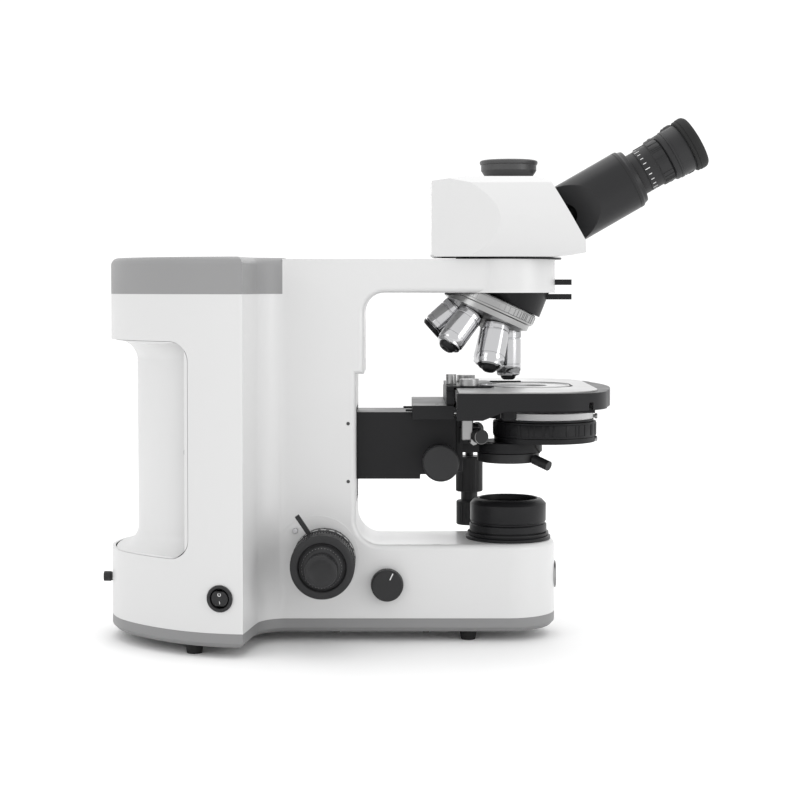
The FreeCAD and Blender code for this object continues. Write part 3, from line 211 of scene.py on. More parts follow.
# %% One function for every finish
def finish(name, colour, gloss, metal=0.0, coat=0.0, grain=900.0, depth=0.0, shine=0.5):
    """A finish: gloss is the (low, high) roughness, grain and depth its fine relief, and
    shine how much a clear surface mirrors."""
    material = bpy.data.materials.new(name)
    material.use_nodes = True
    nodes, links = material.node_tree.nodes, material.node_tree.links
    shader = nodes["Principled BSDF"]
    shader.inputs["Base Color"].default_value = (*colour, 1.0)
    shader.inputs["Metallic"].default_value = metal
    shader.inputs["Coat Weight"].default_value = coat
    shader.inputs["Coat Roughness"].default_value = 0.15
    shader.inputs["Specular IOR Level"].default_value = shine
    handling = nodes.new("ShaderNodeGroup")
    handling.node_tree = HANDLING
    handling.inputs["Low"].default_value = gloss[0]
    handling.inputs["High"].default_value = gloss[1]
    links.new(handling.outputs["Roughness"], shader.inputs["Roughness"])
    if depth:
        relief = nodes.new("ShaderNodeGroup")
        relief.node_tree = GRAIN
        relief.inputs["Fineness"].default_value = grain
        bump = nodes.new("ShaderNodeBump")
        bump.inputs["Distance"].default_value = depth
        bump.inputs["Strength"].default_value = 0.35
        links.new(relief.outputs["Height"], bump.inputs["Height"])
        links.new(bump.outputs["Normal"], shader.inputs["Normal"])
    return material


WHITE = finish("white enamel", (0.62, 0.62, 0.62), (0.30, 0.40), coat=0.12, grain=700,
               depth=0.00004)
SHELL = finish("white moulding", (0.61, 0.61, 0.61), (0.34, 0.46), grain=1500,
               depth=0.00006)
CAP = finish("grey moulding", (0.25, 0.25, 0.252), (0.42, 0.55), grain=1500, depth=0.00008)
TRAY = finish("grey enamel", (0.215, 0.215, 0.217), (0.38, 0.5), grain=900, depth=0.00006)
BLACK = finish("black anodised", (0.009, 0.009, 0.010), (0.36, 0.5), grain=2200,
               depth=0.00003, shine=0.22)
TUBE = finish("black enamel", (0.014, 0.014, 0.015), (0.32, 0.42), grain=1100,
              depth=0.00004, shine=0.28)
MOULDED = finish("black moulding", (0.014, 0.014, 0.015), (0.40, 0.55), grain=1600,
                 depth=0.00006, shine=0.35)
RUBBER = finish("black rubber", (0.010, 0.010, 0.010), (0.6, 0.75), grain=1200,
                depth=0.0001, shine=0.3)
CHROME = finish("polished chrome", (0.52, 0.52, 0.53), (0.10, 0.18), metal=1.0)
SATIN = finish("satin nickel", (0.34, 0.34, 0.34), (0.26, 0.36), metal=1.0, grain=1800,
               depth=0.00002)
STAGE_TOP = finish("ceramic stage top", (0.38, 0.38, 0.38), (0.30, 0.42), metal=0.2,
                   grain=1900, depth=0.00003)
INSERT = finish("pale stage insert", (0.46, 0.46, 0.46), (0.30, 0.42), grain=1900,
                depth=0.00003)
STEEL = finish("ground steel", (0.45, 0.45, 0.46), (0.28, 0.4), metal=1.0)
# Painted light: this pale colour goes on the condenser's lid so that its top reads light, standing in
# for light falling on it from above.
LID_PAINTED_LIGHT = finish("pale moulding painted light", (0.55, 0.55, 0.55), (0.4, 0.5))
MARKS = finish("white marks", (0.70, 0.70, 0.70), (0.5, 0.6))
FAINT = finish("grey marks", (0.26, 0.26, 0.26), (0.5, 0.6))
DARK = finish("dark grey moulding", (0.050, 0.050, 0.051), (0.35, 0.45), grain=1600,
              depth=0.00004)
print("finishes", len(bpy.data.materials))


# %% Clear glass
def make_glass():
    material = bpy.data.materials.new("coated glass")
    material.use_nodes = True
    shader = material.node_tree.nodes["Principled BSDF"]
    shader.inputs["Base Color"].default_value = (0.86, 0.92, 0.95, 1.0)
    shader.inputs["Roughness"].default_value = 0.03
    shader.inputs["Metallic"].default_value = 0.0
    shader.inputs["Transmission Weight"].default_value = 1.0
    shader.inputs["IOR"].default_value = 1.52
    return material


GLASS = make_glass()


def coat(piece, material):
    piece.data.materials.clear()
    piece.data.materials.append(material)
    return piece


# %% [markdown]
# ## Soft edges on the cast and moulded pieces
# No casting, moulding or milled plate has razor edges, and the thin highlight along a
# rounded edge is what makes it look solid. A copy of the CAD mesh has its loose triangles
# merged, flat areas dissolved into single faces, and its sharp edges rounded by an
# applied Bevel modifier. The copy then stands in for the CAD node.

# %% A softened copy of a CAD node
EDGE_ANGLE = math.radians(28)       # edges sharper than this are rounded


def softened(node, material, width, crease=32):
    """A copy of a CAD node with soft edges, in its place."""
    source = frame["nodes"][node]
    piece = source.copy()
    piece.data = source.data.copy()
    piece.name = node + "_finished"
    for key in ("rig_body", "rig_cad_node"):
        if key in piece:
            del piece[key]
    piece.parent = None
    bpy.context.scene.collection.objects.link(piece)
    edit(piece)
    bpy.ops.mesh.select_all(action="SELECT")
    bpy.ops.mesh.customdata_custom_splitnormals_clear()
    bpy.ops.mesh.remove_doubles(threshold=0.00001)
    bpy.ops.mesh.dissolve_limited(angle_limit=math.radians(0.6))
    leave_edit()
    rounding = piece.modifiers.new("soft edges", "BEVEL")
    rounding.width = width
    rounding.segments = 2
    rounding.limit_method = "ANGLE"
    rounding.angle_limit = EDGE_ANGLE
    rounding.use_clamp_overlap = True
    bpy.ops.object.modifier_apply(modifier=rounding.name)
    smooth(piece, crease)
    even = piece.modifiers.new("even shading", "WEIGHTED_NORMAL")
    even.keep_sharp = True
    bpy.ops.object.modifier_apply(modifier=even.name)
    coat(piece, material)
    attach(piece, body_of[node])
    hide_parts(node)
    return piece


# %% Stand, covers and machined plates
SOFT = [
    ("frame_casting", WHITE, 0.7), ("rear_housing", SHELL, 0.5), ("handle_insert", SHELL, 0.6),
    ("top_cap", CAP, 0.4), ("base_plate", TRAY, 0.6),
    ("stage_bracket", BLACK, 0.5), ("stage_base", BLACK, 0.4), ("stage_plate", BLACK, 0.6),
    ("stage_surface", STAGE_TOP, 0.2), ("stage_slide", STEEL, 0.3),
    ("condenser_carrier", BLACK, 0.4), ("nosepiece_mount", BLACK, 0.4),
    ("slide_holder", BLACK, 0.15), ("slide_finger", STEEL, 0.15),
    ("slider_upper", BLACK, 0.3), ("slider_lower", BLACK, 0.3),
    ("front_badge", SATIN, 0.3), ("switch_rocker", MOULDED, 0.3),
    ("power_inlet", MOULDED, 0.3), ("focus_shaft", STEEL, 0.3), ("power_supply", STEEL, 0.5),
    ("lamp_module", BLACK, 0.5), ("head_mount_ring", BLACK, 0.3), ("lock_lever", MOULDED, 0.4),
]
for node, material, width in SOFT:
    softened(node, material, width * MM)
softened("head_housing", WHITE, 2.0 * MM, crease=9)
for node in ("fixed_optics", "beam_splitter"):
    coat(frame["nodes"][node], GLASS)
print("softened", len(SOFT) + 1, "pieces")

# %% [markdown]
# ## Turned pieces
# Knobs, rings, barrels and eyepieces are turned on a lathe, so they start from a circle
# that is extruded and scaled section by section, as a turner cuts steps. A solid keeps
# its end caps; a ring comes back to its first section, where its ends are merged. Knurls
# and ribs are every other side face, pushed in, so nothing grows past its CAD size.

# %% Solid and ring shapes from sections
def sections_of(sections, closed):
    """Extrude the selected circle through the sections of the piece in edit mode."""
    radius, height = sections[0]
    for next_radius, next_height in sections[1:]:
        bpy.ops.mesh.extrude_region_move(
            TRANSFORM_OT_translate={"value": (0, 0, next_height - height)})
        grow = next_radius / radius
        bpy.ops.transform.resize(value=(grow, grow, 1), center_override=(0, 0, next_height))
        radius, height = next_radius, next_height
    bpy.ops.mesh.select_all(action="SELECT")
    if closed:
        bpy.ops.mesh.remove_doubles(threshold=0.000001)
    bpy.ops.mesh.normals_make_consistent(inside=False)


def turned(name, sections, sides=96, ring=False):
    """A lathe piece from (radius, height) sections in millimetres, upright at the origin."""
    cuts = [(max(radius, 0.01) * MM, height * MM) for radius, height in sections]
    bpy.ops.object.select_all(action="DESELECT")
    bpy.ops.mesh.primitive_circle_add(vertices=sides, radius=cuts[0][0],
                                      fill_type="NOTHING" if ring else "NGON",
                                      location=(0, 0, cuts[0][1]))
    piece = bpy.context.active_object
    piece.name = name
    bpy.ops.object.transform_apply(location=True)
    edit(piece)
    bpy.ops.mesh.select_all(action="SELECT")
    sections_of(cuts + cuts[:1] if ring else cuts, ring)
    leave_edit()
    return piece


def choose_faces(piece, chosen):
    """Select the faces that pass the test, and nothing else, ready for edit mode."""
    for vertex in piece.data.vertices:
        vertex.select = False
    for edge in piece.data.edges:
        edge.select = False
    for face in piece.data.polygons:
        face.select = bool(chosen(face))


def ribbed(piece, low, high, depth=0.4, period=2, keep=1, outer=0.0):
    """Push in the side faces between two heights, leaving keep of every period."""
    sides = max(4, sum(1 for v in piece.data.vertices
                       if abs(v.co.z - piece.data.vertices[0].co.z) < 1e-7))
    step = 2 * math.pi / sides

    def chosen(face):
        centre = face.center
        if not low * MM < centre.z < high * MM or abs(face.normal.z) > 0.5:
            return False
        if math.hypot(centre.x, centre.y) < outer * MM:
            return False
        place = int(math.floor(math.atan2(centre.y, centre.x) / step + 1000 * sides))
        return place % period >= keep

    edit(piece)
    bpy.ops.mesh.select_mode(type="FACE")
    bpy.ops.mesh.select_all(action="DESELECT")
    leave_edit()
    choose_faces(piece, chosen)
    edit(piece)
    bpy.ops.mesh.extrude_region_shrink_fatten(
        TRANSFORM_OT_shrink_fatten={"value": -depth * MM})
    bpy.ops.mesh.select_mode(type="VERT")
    leave_edit()
    return piece


def grip_band(name, inner, outer, lip, low, high, sides):
    """A ring to be knurled, its two rims lower by lip and 0.4 mm wide."""
    return turned(name, [
        (inner, low), (outer - lip, low), (outer, low + 0.4), (outer, high - 0.4),
        (outer - lip, high), (inner, high)], sides=sides, ring=True)


def riding(piece, node, at, axis, material, spin=0.0):
    """Put an added detail on the body that carries a CAD node."""
    smooth(piece)
    put(piece, at, axis, spin)
    coat(piece, material)
    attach(piece, body_of[node])
    return piece


def fitted(piece, node, at, axis, material):
    """Put a finished turned piece in the place of its CAD node."""
    riding(piece, node, at, axis, material)
    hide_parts(node)
    return piece


print("lathe ready")

# %% [markdown]
# ## Marks
# Scale lines, the pointer on the light dial and the two signs on the switch are printed
# or filled with paint. Each mark is a thin raised bar, a box whose outer edges are
# bevelled a little, set around a barrel or on a face and joined to one mesh.

# %% Bars around a barrel
def bar(name, size):
    bpy.ops.object.select_all(action="DESELECT")
    bpy.ops.mesh.primitive_cube_add(size=1)
    piece = bpy.context.active_object
    piece.name = name
    piece.scale = [value * MM for value in size]
    bpy.ops.object.transform_apply(scale=True)
    edit(piece)
    bpy.ops.mesh.select_all(action="SELECT")
    bpy.ops.mesh.bevel(offset=min(size) * 0.2 * MM, segments=1, affect="EDGES")
    leave_edit()
    return piece


def marks_round(name, radius, height, lengths, arc, start=0.0, width=0.5):
    """Bars along the axis, set evenly over an arc of a barrel, upright at the origin."""
    pieces = []
    for index, length in enumerate(lengths):
        angle = start + arc * index / max(1, len(lengths) - 1)
        mark = bar(name, (0.24, width, length))
        turn = Matrix.Rotation(angle, 4, "Z")
        mark.matrix_world = turn @ Matrix.Translation((radius * MM, 0, height * MM))
        pick(mark)
        bpy.ops.object.transform_apply(location=True, rotation=True)
        pieces.append(mark)
    return joined(name, pieces)


# %% [markdown]
# ## Focus drive
# The coarse knob is moulded with shallow scallops for grip, the fine knob in its middle
# has fine ribs, a scale on its collar and a dished end, and behind both a tension ring
# carries white dashes.
# The two sides are the same, so one function makes both ends of the drive.

# %% Knobs on both sides
focus = Vector(joints["coarse_turn"]["pos_m"])
for side, name in ((-1, "left"), (1, "right")):
    axis = (0, side, 0)
    near, far, radius = measured(f"coarse_knob_{name}", focus, axis)
    coarse = turned(f"coarse_knob_{name}_finished", [
        (10, near), (radius - 3, near), (radius - 1.5, near + 0.6), (radius - 0.3, near + 2),
        (radius, near + 4), (radius, far - 8), (radius - 0.4, far - 1.8),
        (radius - 1.8, far - 0.7),
        (radius - 4, far), (21.5, far), (20.6, far - 0.6), (20, far - 2.4), (12, far - 2.4)],
        sides=144)
    ribbed(coarse, near + 2.5, far - 1.9, depth=0.9, period=4, keep=2, outer=22)
    fitted(coarse, f"coarse_knob_{name}", focus, axis, MOULDED)
    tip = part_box(f"fine_knob_{name}")[0 if side < 0 else 1].y * side / MM
    base = far - 2.2
    fine = turned(f"fine_knob_{name}_finished", [
        (19, base), (19, base + 2.0), (18.8, base + 2.4), (15.6, base + 6.8),
        (15.0, base + 7.2), (14, base + 7.6), (14, tip - 2.2), (13.2, tip - 0.7), (11.8, tip),
        (10.6, tip), (9.6, tip - 0.6), (7.5, tip - 2.0), (4, tip - 2.8), (0.2, tip - 3)],
        sides=120)
    ribbed(fine, base + 7.8, tip - 2.6, depth=0.35, period=3, keep=2, outer=11)
    fitted(fine, f"fine_knob_{name}", focus, axis, MOULDED)
    lines = marks_round(f"fine_scale_{name}", 17.2, base + 4.7, [3.4] * 40, math.tau * 39 / 40)
    riding(lines, f"fine_knob_{name}", focus, axis, FAINT)
print("focus knobs at", [round(v, 4) for v in focus])

# %% Tension ring with its dashes, and the locking lever's screw
near, far, radius = measured("tension_ring", focus, TO_VIEWER)
tension = turned("tension_ring_finished", [
    (12.3, near), (radius - 2, near), (radius - 1, near + 1), (radius - 0.6, near + 6),
    (radius, near + 7), (radius, far - 1.2), (radius - 1.4, far), (12.3, far)],
    sides=144, ring=True)
ribbed(tension, near + 7.2, far - 1.4, depth=0.5, period=8, keep=6, outer=20)
fitted(tension, "tension_ring", focus, TO_VIEWER, MOULDED)
dashes = marks_round("tension_dashes", radius - 0.03, far - 3.0, [2.6] * 24,
                     math.tau * 23 / 24, width=4.6)
riding(dashes, "tension_ring", focus, TO_VIEWER, MARKS)
screw = turned("lever_screw", [(2.4, 0), (2.4, 1.6), (2.0, 2.2), (1.2, 2.2), (1.2, 1.2)],
               sides=24)
LEVER_SCREW = place(-26, -46.7, 24.6)      # from the middle of the focus shaft
riding(screw, "frame_casting", focus + LEVER_SCREW, TO_VIEWER, STEEL)

# %% [markdown]
# ## Light dial and power switch
# The dial is a plain moulded knob with a pointer line. The switch is a round bezel with
# a rocker that carries the usual circle and line for off and on.

# %% Dial, bezel and signs
dial_at = Vector(joints["dimmer_turn"]["pos_m"])
near, far, radius = measured("dimmer_knob", dial_at, TO_VIEWER)
dial = turned("dimmer_knob_finished", [
    (radius - 1, 0.5), (radius - 0.2, 1.0), (radius, 2.2), (radius - 0.5, far - 1),
    (radius - 1.4, far), (radius - 3, far - 0.1), (0.2, far - 0.3)], sides=96)
ribbed(dial, 2.0, far - 1.4, depth=0.25, period=2, keep=1, outer=8)
fitted(dial, "dimmer_knob", dial_at, TO_VIEWER, MOULDED)
pointer = bar("dial_pointer", (0.9, 6.4, 0.5))
pointer.matrix_world = Matrix.Translation((0, 9.0 * MM, (far - 0.1) * MM))
pick(pointer)
bpy.ops.object.transform_apply(location=True)
riding(pointer, "dimmer_knob", dial_at, TO_VIEWER, MARKS, spin=math.radians(-25))

switch_joint = joints["switch_rock"]
outward = Vector(switch_joint["axis"]).cross(Vector((0, 0, 1))).normalized()
if outward.y > 0:
    outward = -outward
switch_at = Vector(switch_joint["pos_m"]) + outward * 3 * MM
bezel = turned("switch_bezel_finished", [
    (8.6, -12), (9.6, -12), (9.6, 0.3), (11.4, 0.3), (11.6, 0.8), (11.0, 1.8), (10.2, 2.2),
    (9.2, 2.2), (8.6, 1.6)], sides=96, ring=True)
fitted(bezel, "switch_bezel", switch_at, outward, MOULDED)
ring = turned("switch_off_sign", [(1.0, 0), (1.5, 0), (1.5, 0.25), (1.0, 0.25)], sides=32,
              ring=True)
riding(ring, "switch_rocker", switch_at + outward * 1.75 * MM + Vector((0, 0, 3.6 * MM)), outward,
       MARKS)
line = bar("switch_on_sign", (0.5, 2.6, 0.3))
riding(line, "switch_rocker", switch_at + outward * 0.85 * MM - Vector((0, 0, 3.4 * MM)), outward,
       MARKS)
print("switch faces", [round(v, 3) for v in outward])

# %% [markdown]
# ## Field lens on the base
# Three stepped rings sit on the base, parted by dark grooves, and a turning ring above
# them opens the field diaphragm. The opening has a bevelled lip and a lens below it.

# %% Housing and turning ring
field_at = on_table(joints["field_ring_turn"]["pos_m"])
near, far, radius = measured("field_lens_housing", field_at, UP)
HOUSING_STEPS = 14.3           # height of the housing's rings under the turning one
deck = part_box("field_diaphragm_ring")[0].z / MM - HOUSING_STEPS
housing = turned("field_lens_housing_finished", [
    (26, near), (27.9, near), (27.9, deck), (radius - 0.6, deck), (radius, deck + 0.5),
    (radius, deck + 2.6), (radius - 0.8, deck + 3.2), (36.2, deck + 3.4), (36.2, deck + 4.2),
    (37.0, deck + 4.6), (37.0, deck + 6.4), (34.2, deck + 6.6), (34.2, deck + 7.2),
    (35.2, deck + 7.6), (35.2, deck + 13.2), (34.4, deck + 14), (30.1, deck + 14),
    (30.1, far), (26, far)], sides=128, ring=True)
fitted(housing, "field_lens_housing", field_at, UP, BLACK)
near, far, radius = measured("field_diaphragm_ring", field_at, UP)
turning = turned("field_diaphragm_ring_finished", [
    (30.2, near), (radius - 1.4, near), (radius - 1.4, near + 1.2), (radius - 0.4, near + 1.8),
    (radius, near + 2.6), (radius, far - 5), (radius - 0.8, far - 4), (radius - 3.4, far - 1.2),
    (27.4, far), (26.4, far - 0.6), (26.2, far - 5), (30.2, far - 5)], sides=144, ring=True)
fitted(turning, "field_diaphragm_ring", field_at, UP, BLACK)
set_screw = turned("field_set_screw", [(1.3, 0), (1.3, 0.5), (0.7, 0.5), (0.7, 0.1)], sides=20)
screw_out = Vector((-0.36, -0.93, 0)).normalized()
riding(set_screw, "field_lens_housing", field_at + screw_out * 35.0 * MM
       + Vector((0, 0, (deck + 10.4) * MM)), screw_out, RUBBER)

# %% [markdown]
# ## Nosepiece and objectives
# The tilted nosepiece carries a knurled rim to turn it by. The objectives are polished
# barrels with a grip ring near the thread, engraved grooves and a dark front lens cone;
# they differ in length, which the frame tells, and in the listed width of their tips.

# %% Knurled rim over the nosepiece bowl
nose = joints["nosepiece_turn"]
apex = Vector(nose["pos_m"])
nose_axis = Vector(nose["axis"]).normalized()
near, far, radius = measured("nosepiece_turret", apex, nose_axis)
softened("nosepiece_turret", SATIN, 0.3 * MM)
rim_low = 35.0
rim = grip_band("nosepiece_knurl", 41.0, radius + 0.6, 0.35, rim_low + 1.6, rim_low + 8.4, 288)
ribbed(rim, rim_low + 2.1, rim_low + 7.9, depth=0.4, period=2, keep=1, outer=42)
riding(rim, "nosepiece_turret", apex, nose_axis, SATIN)
print("nosepiece radius", round(radius, 1))


# %% One objective for each seat
def make_objective(node, turn):
    direction = Quaternion(nose_axis, turn) @ Vector((0, 0, -1))
    low, tip, radius = measured(node, apex, direction)
    seat = low + 4.5
    length = tip - seat
    front = {"objective_4x": 9.4, "objective_10x": 7.0, "objective_20x": 5.6}.get(node, 4.6)
    barrel = turned(node + "_finished", [
        (9.4, low), (9.9, low + 0.4), (9.9, seat), (radius - 0.6, seat), (radius, seat + 0.5),
        (radius, seat + 5.5), (radius - 0.5, seat + 6), (radius - 0.5, seat + 6.6),
        (radius, seat + 7), (radius, seat + length * 0.66), (radius - 0.35, seat + length * 0.665),
        (radius - 0.35, seat + length * 0.68), (radius, seat + length * 0.685),
        (radius - 0.1, seat + length * 0.80), (radius - 0.9, seat + length * 0.83),
        (radius - 0.9, tip - 5.2), (radius - 2.2, tip - 4.0), (front + 2.0, tip - 3.4)], sides=96)
    ribbed(barrel, seat + 0.6, seat + 5.4, depth=0.3, period=2, keep=1, outer=radius - 1)
    fitted(barrel, node, apex, direction, CHROME)
    cone = turned(node + "_front", [
        (front + 2.4, tip - 3.6), (front + 1.6, tip - 1.4), (front + 0.3, tip - 0.2),
        (front - 0.2, tip), (front * 0.55, tip), (front * 0.45, tip - 0.6), (0.2, tip - 0.9)],
        sides=64)
    riding(cone, node, apex, direction, BLACK)
    return length


SEATS = ["objective_40x", "objective_60x", "objective_20x", "objective_4x", "objective_10x",
         "objective_100x"]
for index, node in enumerate(SEATS):
    length = make_objective(node, index * math.tau / len(SEATS))
    print(node, round(length, 1), "mm")

# %% [markdown]
# ## Head: tubes, scales, eyepieces and port cap
# The two black tubes swing on the head's slanted face. Each ends in a stepped nose, then
# a ring with a focusing scale, a ribbed grip ring, and an eyepiece whose soft cup is a
# little wider than its barrel. The port on top is closed by a dished cap.

# %% Tubes and what they carry
EYEPIECE_REACH = 31.3          # from the tube's shoulder to the eyepiece's grip
tube_axis = Vector(joints["left_tube_swing"]["axis"]).normalized()
for name in ("left", "right"):
    side = -1 if name == "left" else 1
    scale_joint = joints[f"{name}_diopter_turn"]
    point = Vector(scale_joint["pos_m"])
    near, far, radius = measured(f"tube_{name}", point, tube_axis)
    foot = point + tube_axis * near * MM
    shoulder = measured(f"diopter_ring_{name}", foot, tube_axis)[0] - GAP
    softened(f"tube_{name}", TUBE, 0.6 * MM, crease=20)
    groove = turned(f"tube_groove_{name}", [
        (radius - 1, shoulder - 8.2), (radius + 0.05, shoulder - 8.2),
        (radius + 0.05, shoulder - 7.6), (radius - 1, shoulder - 7.6)], sides=128, ring=True)
    riding(groove, f"tube_{name}", foot, tube_axis, RUBBER)
    low, high, wide = measured(f"diopter_ring_{name}", foot, tube_axis)
    waist = high - 11
    scale = turned(f"diopter_ring_{name}_finished", [
        (15.1, low), (18.6, low), (19.3, low + 0.7), (19.3, low + 6.4), (18.8, low + 6.7),
        (18.8, low + 7.3), (19.3, low + 7.6), (19.3, waist - 0.8), (19.6, waist), (wide - 0.3, waist),
        (wide, waist + 0.5), (wide, high - 0.7), (wide - 0.6, high), (15.1, high)],
        sides=144, ring=True)
    ribbed(scale, waist + 0.6, high - 0.8, depth=0.3, period=2, keep=1, outer=20)
    fitted(scale, f"diopter_ring_{name}", foot, tube_axis, MOULDED)
    lengths = [4.6 if index % 4 == 0 else 3.0 for index in range(17)]
    lines = marks_round(f"diopter_scale_{name}", 19.25, low + 10.6, lengths, math.radians(250),
                        start=math.radians(-215), width=0.7)
    riding(lines, f"diopter_ring_{name}", foot, tube_axis, MARKS)
    low, high, wide = measured(f"eyepiece_{name}", foot, tube_axis)
    grip = shoulder + EYEPIECE_REACH + GAP
    cup = high - 11.6
    body = turned(f"eyepiece_{name}_finished", [
        (14, grip - 2), (20.6, grip), (21.6, grip + 0.6), (22.0, grip + 1.4), (22.0, grip + 5.2),
        (22.6, grip + 5.4), (22.6, grip + 7.4), (22.0, grip + 7.7), (22.0, cup - 2), (21.6, cup),
        (21.6, cup + 4)], sides=128)
    fitted(body, f"eyepiece_{name}", foot, tube_axis, MOULDED)
    soft_cup = turned(f"eyecup_{name}", [
        (20, cup), (wide - 1.2, cup), (wide - 0.5, cup + 0.8), (wide - 0.6, cup + 3.2),
        (wide - 0.1, cup + 3.6), (wide, high - 4), (wide - 0.6, high - 2), (wide - 2.2, high - 0.3),
        (wide - 3.6, high), (wide - 5, high - 0.8), (wide - 6.4, high - 4), (17.5, high - 6.4),
        (16.5, high - 6.8), (16.3, high - 8)], sides=128)
    riding(soft_cup, f"eyepiece_{name}", foot, tube_axis, RUBBER)
    lens = turned(f"eye_lens_{name}", [
        (16.2, high - 7.9), (15.6, high - 7.4), (11, high - 6.6), (5, high - 6.2),
        (0.2, high - 6.1)], sides=64)
    riding(lens, f"eyepiece_{name}", foot, tube_axis, GLASS)
print("tubes point along", [round(v, 3) for v in tube_axis])

# %% Port cap
port_at = on_table(middle("port_cap"))
near, far, radius = measured("port_cap", port_at, UP)
cap = turned("port_cap_finished", [
    (20.6, near), (20.6, near + 8.8), (radius - 5.6, near + 8.8), (radius - 1.1, near + 15.6),
    (radius - 1.1, near + 20.6), (radius - 0.3, near + 21.2), (radius, near + 22),
    (radius, far - 1.2), (radius - 0.8, far - 0.3), (radius - 1.8, far), (radius - 5, far),
    (radius - 5.6, far - 1.2), (0.2, far - 1.4)], sides=128)
fitted(cap, "port_cap", port_at, UP, DARK)

# %% [markdown]
# ## Condenser
# Under the stage hangs a turret condenser: a disc between two plates with a pale lid,
# its colour painted light standing in for the light on its top, a lens barrel at the optical
# axis, an iris ring with a handle, and two knurled centring screws. A pair of ribbed knobs
# drives it up and down.

# %% Body, turret, iris and knobs
turret_at = on_table(joints["condenser_turret_turn"]["pos_m"])
softened("condenser_body", BLACK, 0.4 * MM)
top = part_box("condenser_turret")[1].z / MM
low, high, radius = measured("condenser_turret", turret_at, UP)
softened("condenser_turret", BLACK, 0.4 * MM)
edge = grip_band("turret_knurl", radius - 2, radius + 0.4, 0.2, low + 1.4, high - 1.4, 240)
ribbed(edge, low + 2, high - 2, depth=0.35, period=2, keep=1, outer=radius - 0.5)
riding(edge, "condenser_turret", turret_at, UP, BLACK)
# The lid is coloured pale as painted light on the condenser's top.
lid = turned("condenser_lid", [
    (43.8, top + 2.5), (44.3, top + 3.0), (44.3, top + 8.2), (43.6, top + 8.8), (19.0, top + 8.9)],
    sides=128)
riding(lid, "condenser_body", turret_at, UP, LID_PAINTED_LIGHT)
softened("iris_ring", MOULDED, 0.4 * MM)
softened("centring_screws", MOULDED, 0.4 * MM)
for side in (-1, 1):
    bracket = bar("centring_bracket", (10, 4, 22))
    riding(bracket, "condenser_carrier", place(57, side * 31.2, 190), UP, SATIN)
    nut = turned("centring_nut", [(3.2, 0), (3.6, 0.4), (3.6, 4.2), (3.2, 4.6), (0.3, 4.6)], sides=6)
    riding(nut, "condenser_carrier", place(62, side * 33, 178.5), (0.2, side, -0.1), SATIN)
    rim = turned("centring_rim", [(6.2, 0), (6.5, 0.2), (6.5, 1.0), (6.2, 1.2)], sides=64, ring=True)
    out = Vector((0.35, side * 0.94, 0)).normalized()
    start = place(64.3, side * 30, 183)
    riding(rim, "centring_screws", start + out * 13.6 * MM, out, SATIN)
pin = turned("turret_pin", [(0.8, 0), (0.8, 9.0), (0.5, 9.4)], sides=16)
riding(pin, "condenser_body", place(116, -41, 176.2), (0.55, -0.1, -0.83), RUBBER)
for height in (199.2, 178.6):
    grip = turned("filter_screw", [(1.6, 0), (1.6, 1.8), (2.4, 1.8), (2.4, 3.6), (1.9, 4.0)],
                  sides=32)
    riding(grip, "condenser_body", place(172.2, -8, height), (1, -0.2, 0), SATIN)
hanger = bar("stage_hanger", (14, 12, 13))
riding(hanger, "stage_base", place(93, -46, 204), UP, BLACK)
softened("condenser_focus_shaft", MOULDED, 0.6 * MM)
knob_at = Vector(joints["condenser_knob_turn"]["pos_m"])
near, far, radius = measured("condenser_focus_shaft", knob_at, TO_VIEWER)
for side in (-1, 1):
    grip = grip_band("condenser_knob_grip", radius - 2, radius + 0.3, 0.2, far - 14, far - 2, 160)
    ribbed(grip, far - 13.4, far - 2.6, depth=0.35, period=2, keep=1, outer=radius - 0.5)
    riding(grip, "condenser_focus_shaft", knob_at, (0, side, 0), MOULDED)

# %% [markdown]
# ## Stage insert
# A pale plate fills the wide opening of the stage, with a raised oval rim round it,
# coloured white as a painted highlight along its edge, and a slot for the light. It starts
# as a round ring, pulled apart in the middle so that it becomes an oval.

# %% Oval insert
def ovalled(piece, spread):
    """Move each half of a ring outwards, along Y, and so stretch it to an oval."""
    for sign in (-1, 1):
        for vertex in piece.data.vertices:
            vertex.select = vertex.co.y * sign > 1e-6
        edit(piece)
        bpy.ops.transform.translate(value=(0, sign * spread * MM, 0))
        leave_edit()
    return piece


OVAL_SPREAD = 14               # how far each half of the oval stands from its middle
deck_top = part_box("stage_surface")[1].z / MM
opening_at = place(116, 0, 0)
insert = turned("stage_insert", [
    (15, deck_top - 2.2), (35.7, deck_top - 2.2), (35.7, deck_top - 0.5), (15.5, deck_top - 0.5),
    (15, deck_top - 0.9)], sides=96, ring=True)
riding(ovalled(insert, OVAL_SPREAD), "stage_surface", opening_at, UP, INSERT)
# The raised rim is given the white marks finish as a painted highlight along its edge.
rim_highlight_ring = turned("insert_rim_painted_highlight", [
    (33.4, deck_top - 0.8), (35.2, deck_top - 0.8), (34.9, deck_top + 0.15),
    (33.7, deck_top + 0.15)], sides=96, ring=True)
riding(ovalled(rim_highlight_ring, OVAL_SPREAD), "stage_surface", opening_at, UP, MARKS)
print("insert on the stage at", round(deck_top, 1))

# %% [markdown]
# ## Stage drive, screws and feet
# The drive knobs hang under the far side of the stage, the upper one a sleeve over the
# lower one's shaft. Small screws have a hollow hexagon, and the feet are rubber.

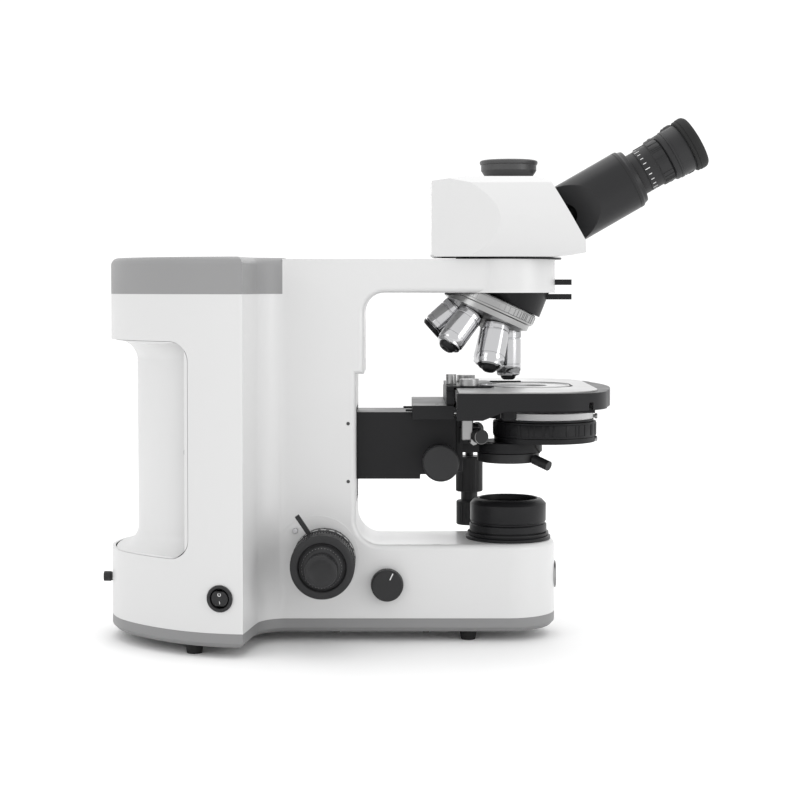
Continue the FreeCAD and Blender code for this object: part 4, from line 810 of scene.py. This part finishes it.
# %% Hanging knobs
drive_at = on_table(joints["stage_y_knob_turn"]["pos_m"])
low, high, radius = measured("stage_knob_y", drive_at, UP)
upper = turned("stage_knob_y_finished", [
    (3.1, low), (radius - 0.8, low), (radius, low + 0.8), (radius, low + 33), (radius - 1, low + 34),
    (3.9, low + 34), (3.9, high), (3.1, high)], sides=96, ring=True)
ribbed(upper, low + 1, low + 32.8, depth=0.4, period=4, keep=3, outer=10)
fitted(upper, "stage_knob_y", drive_at, UP, MOULDED)
low, high, radius = measured("stage_knob_x", drive_at, UP)
lower = turned("stage_knob_x_finished", [
    (radius - 0.8, low), (radius, low + 0.8), (radius, low + 22), (radius - 0.8, low + 23),
    (8, low + 23.4), (8, low + 31.6), (3, low + 31.6), (3, high)], sides=96)
ribbed(lower, low + 1, low + 21.8, depth=0.4, period=4, keep=3, outer=10)
fitted(lower, "stage_knob_x", drive_at, UP, MOULDED)

# %% Screws, feet and the knurled clamp screws of the slide holder
softened("case_screws", DARK, 0.15 * MM)
softened("feet", RUBBER, 0.5 * MM)
softened("stage_screws", SATIN, 0.4 * MM)

# %% [markdown]
# ## Room, light and camera
# The instrument stands on a pale floor under broad soft lights, with a long lens at
# almost table height, so that the sides stay nearly parallel.

# %% Floor
bpy.ops.object.select_all(action="DESELECT")
bpy.ops.mesh.primitive_plane_add(size=12, location=(0, 0, 0))
floor_piece = bpy.context.active_object
floor_piece.name = "studio_floor"
edit(floor_piece)
bpy.ops.mesh.select_all(action="SELECT")
bpy.ops.mesh.subdivide(number_cuts=3)
leave_edit()
FLOOR = finish("pale floor", (0.95, 0.95, 0.95), (0.7, 0.8))
coat(floor_piece, FLOOR)


# %% Lights
def soft_light(name, at, towards, size, power):
    lamp = bpy.data.lights.new(name, "AREA")
    lamp.shape = "SQUARE"
    lamp.size = size
    lamp.energy = power
    holder = bpy.data.objects.new(name, lamp)
    holder.location = at
    holder.rotation_euler = (Vector(towards) - Vector(at)).to_track_quat("-Z", "Y").to_euler()
    bpy.context.scene.collection.objects.link(holder)


centre = (0, 0, 0.22)
soft_light("overhead", (0.1, 0.3, 1.9), centre, 1.6, 9)
soft_light("left front", (-1.7, -1.5, 1.2), centre, 1.0, 4)
soft_light("right front", (1.9, -1.2, 0.7), centre, 1.0, 9)
soft_light("behind", (0.2, 2.2, 1.0), centre, 1.6, 5)
world = bpy.data.worlds.new("white room")
world.use_nodes = True
world.node_tree.nodes["Background"].inputs["Color"].default_value = (1, 1, 1, 1)
world.node_tree.nodes["Background"].inputs["Strength"].default_value = 1.12
bpy.context.scene.world = world
bpy.context.scene.view_settings.view_transform = "Standard"

# %% Camera
lens = bpy.data.cameras.new("camera")
lens.lens = 76.5
lens.sensor_width = 36
lens.shift_y = -0.078
camera = bpy.data.objects.new("camera", lens)
camera.location = (-0.0032, -1.55, 0.316)
camera.rotation_euler = (math.radians(90 - 1.7), 0, 0)
bpy.context.scene.collection.objects.link(camera)
bpy.context.scene.camera = camera
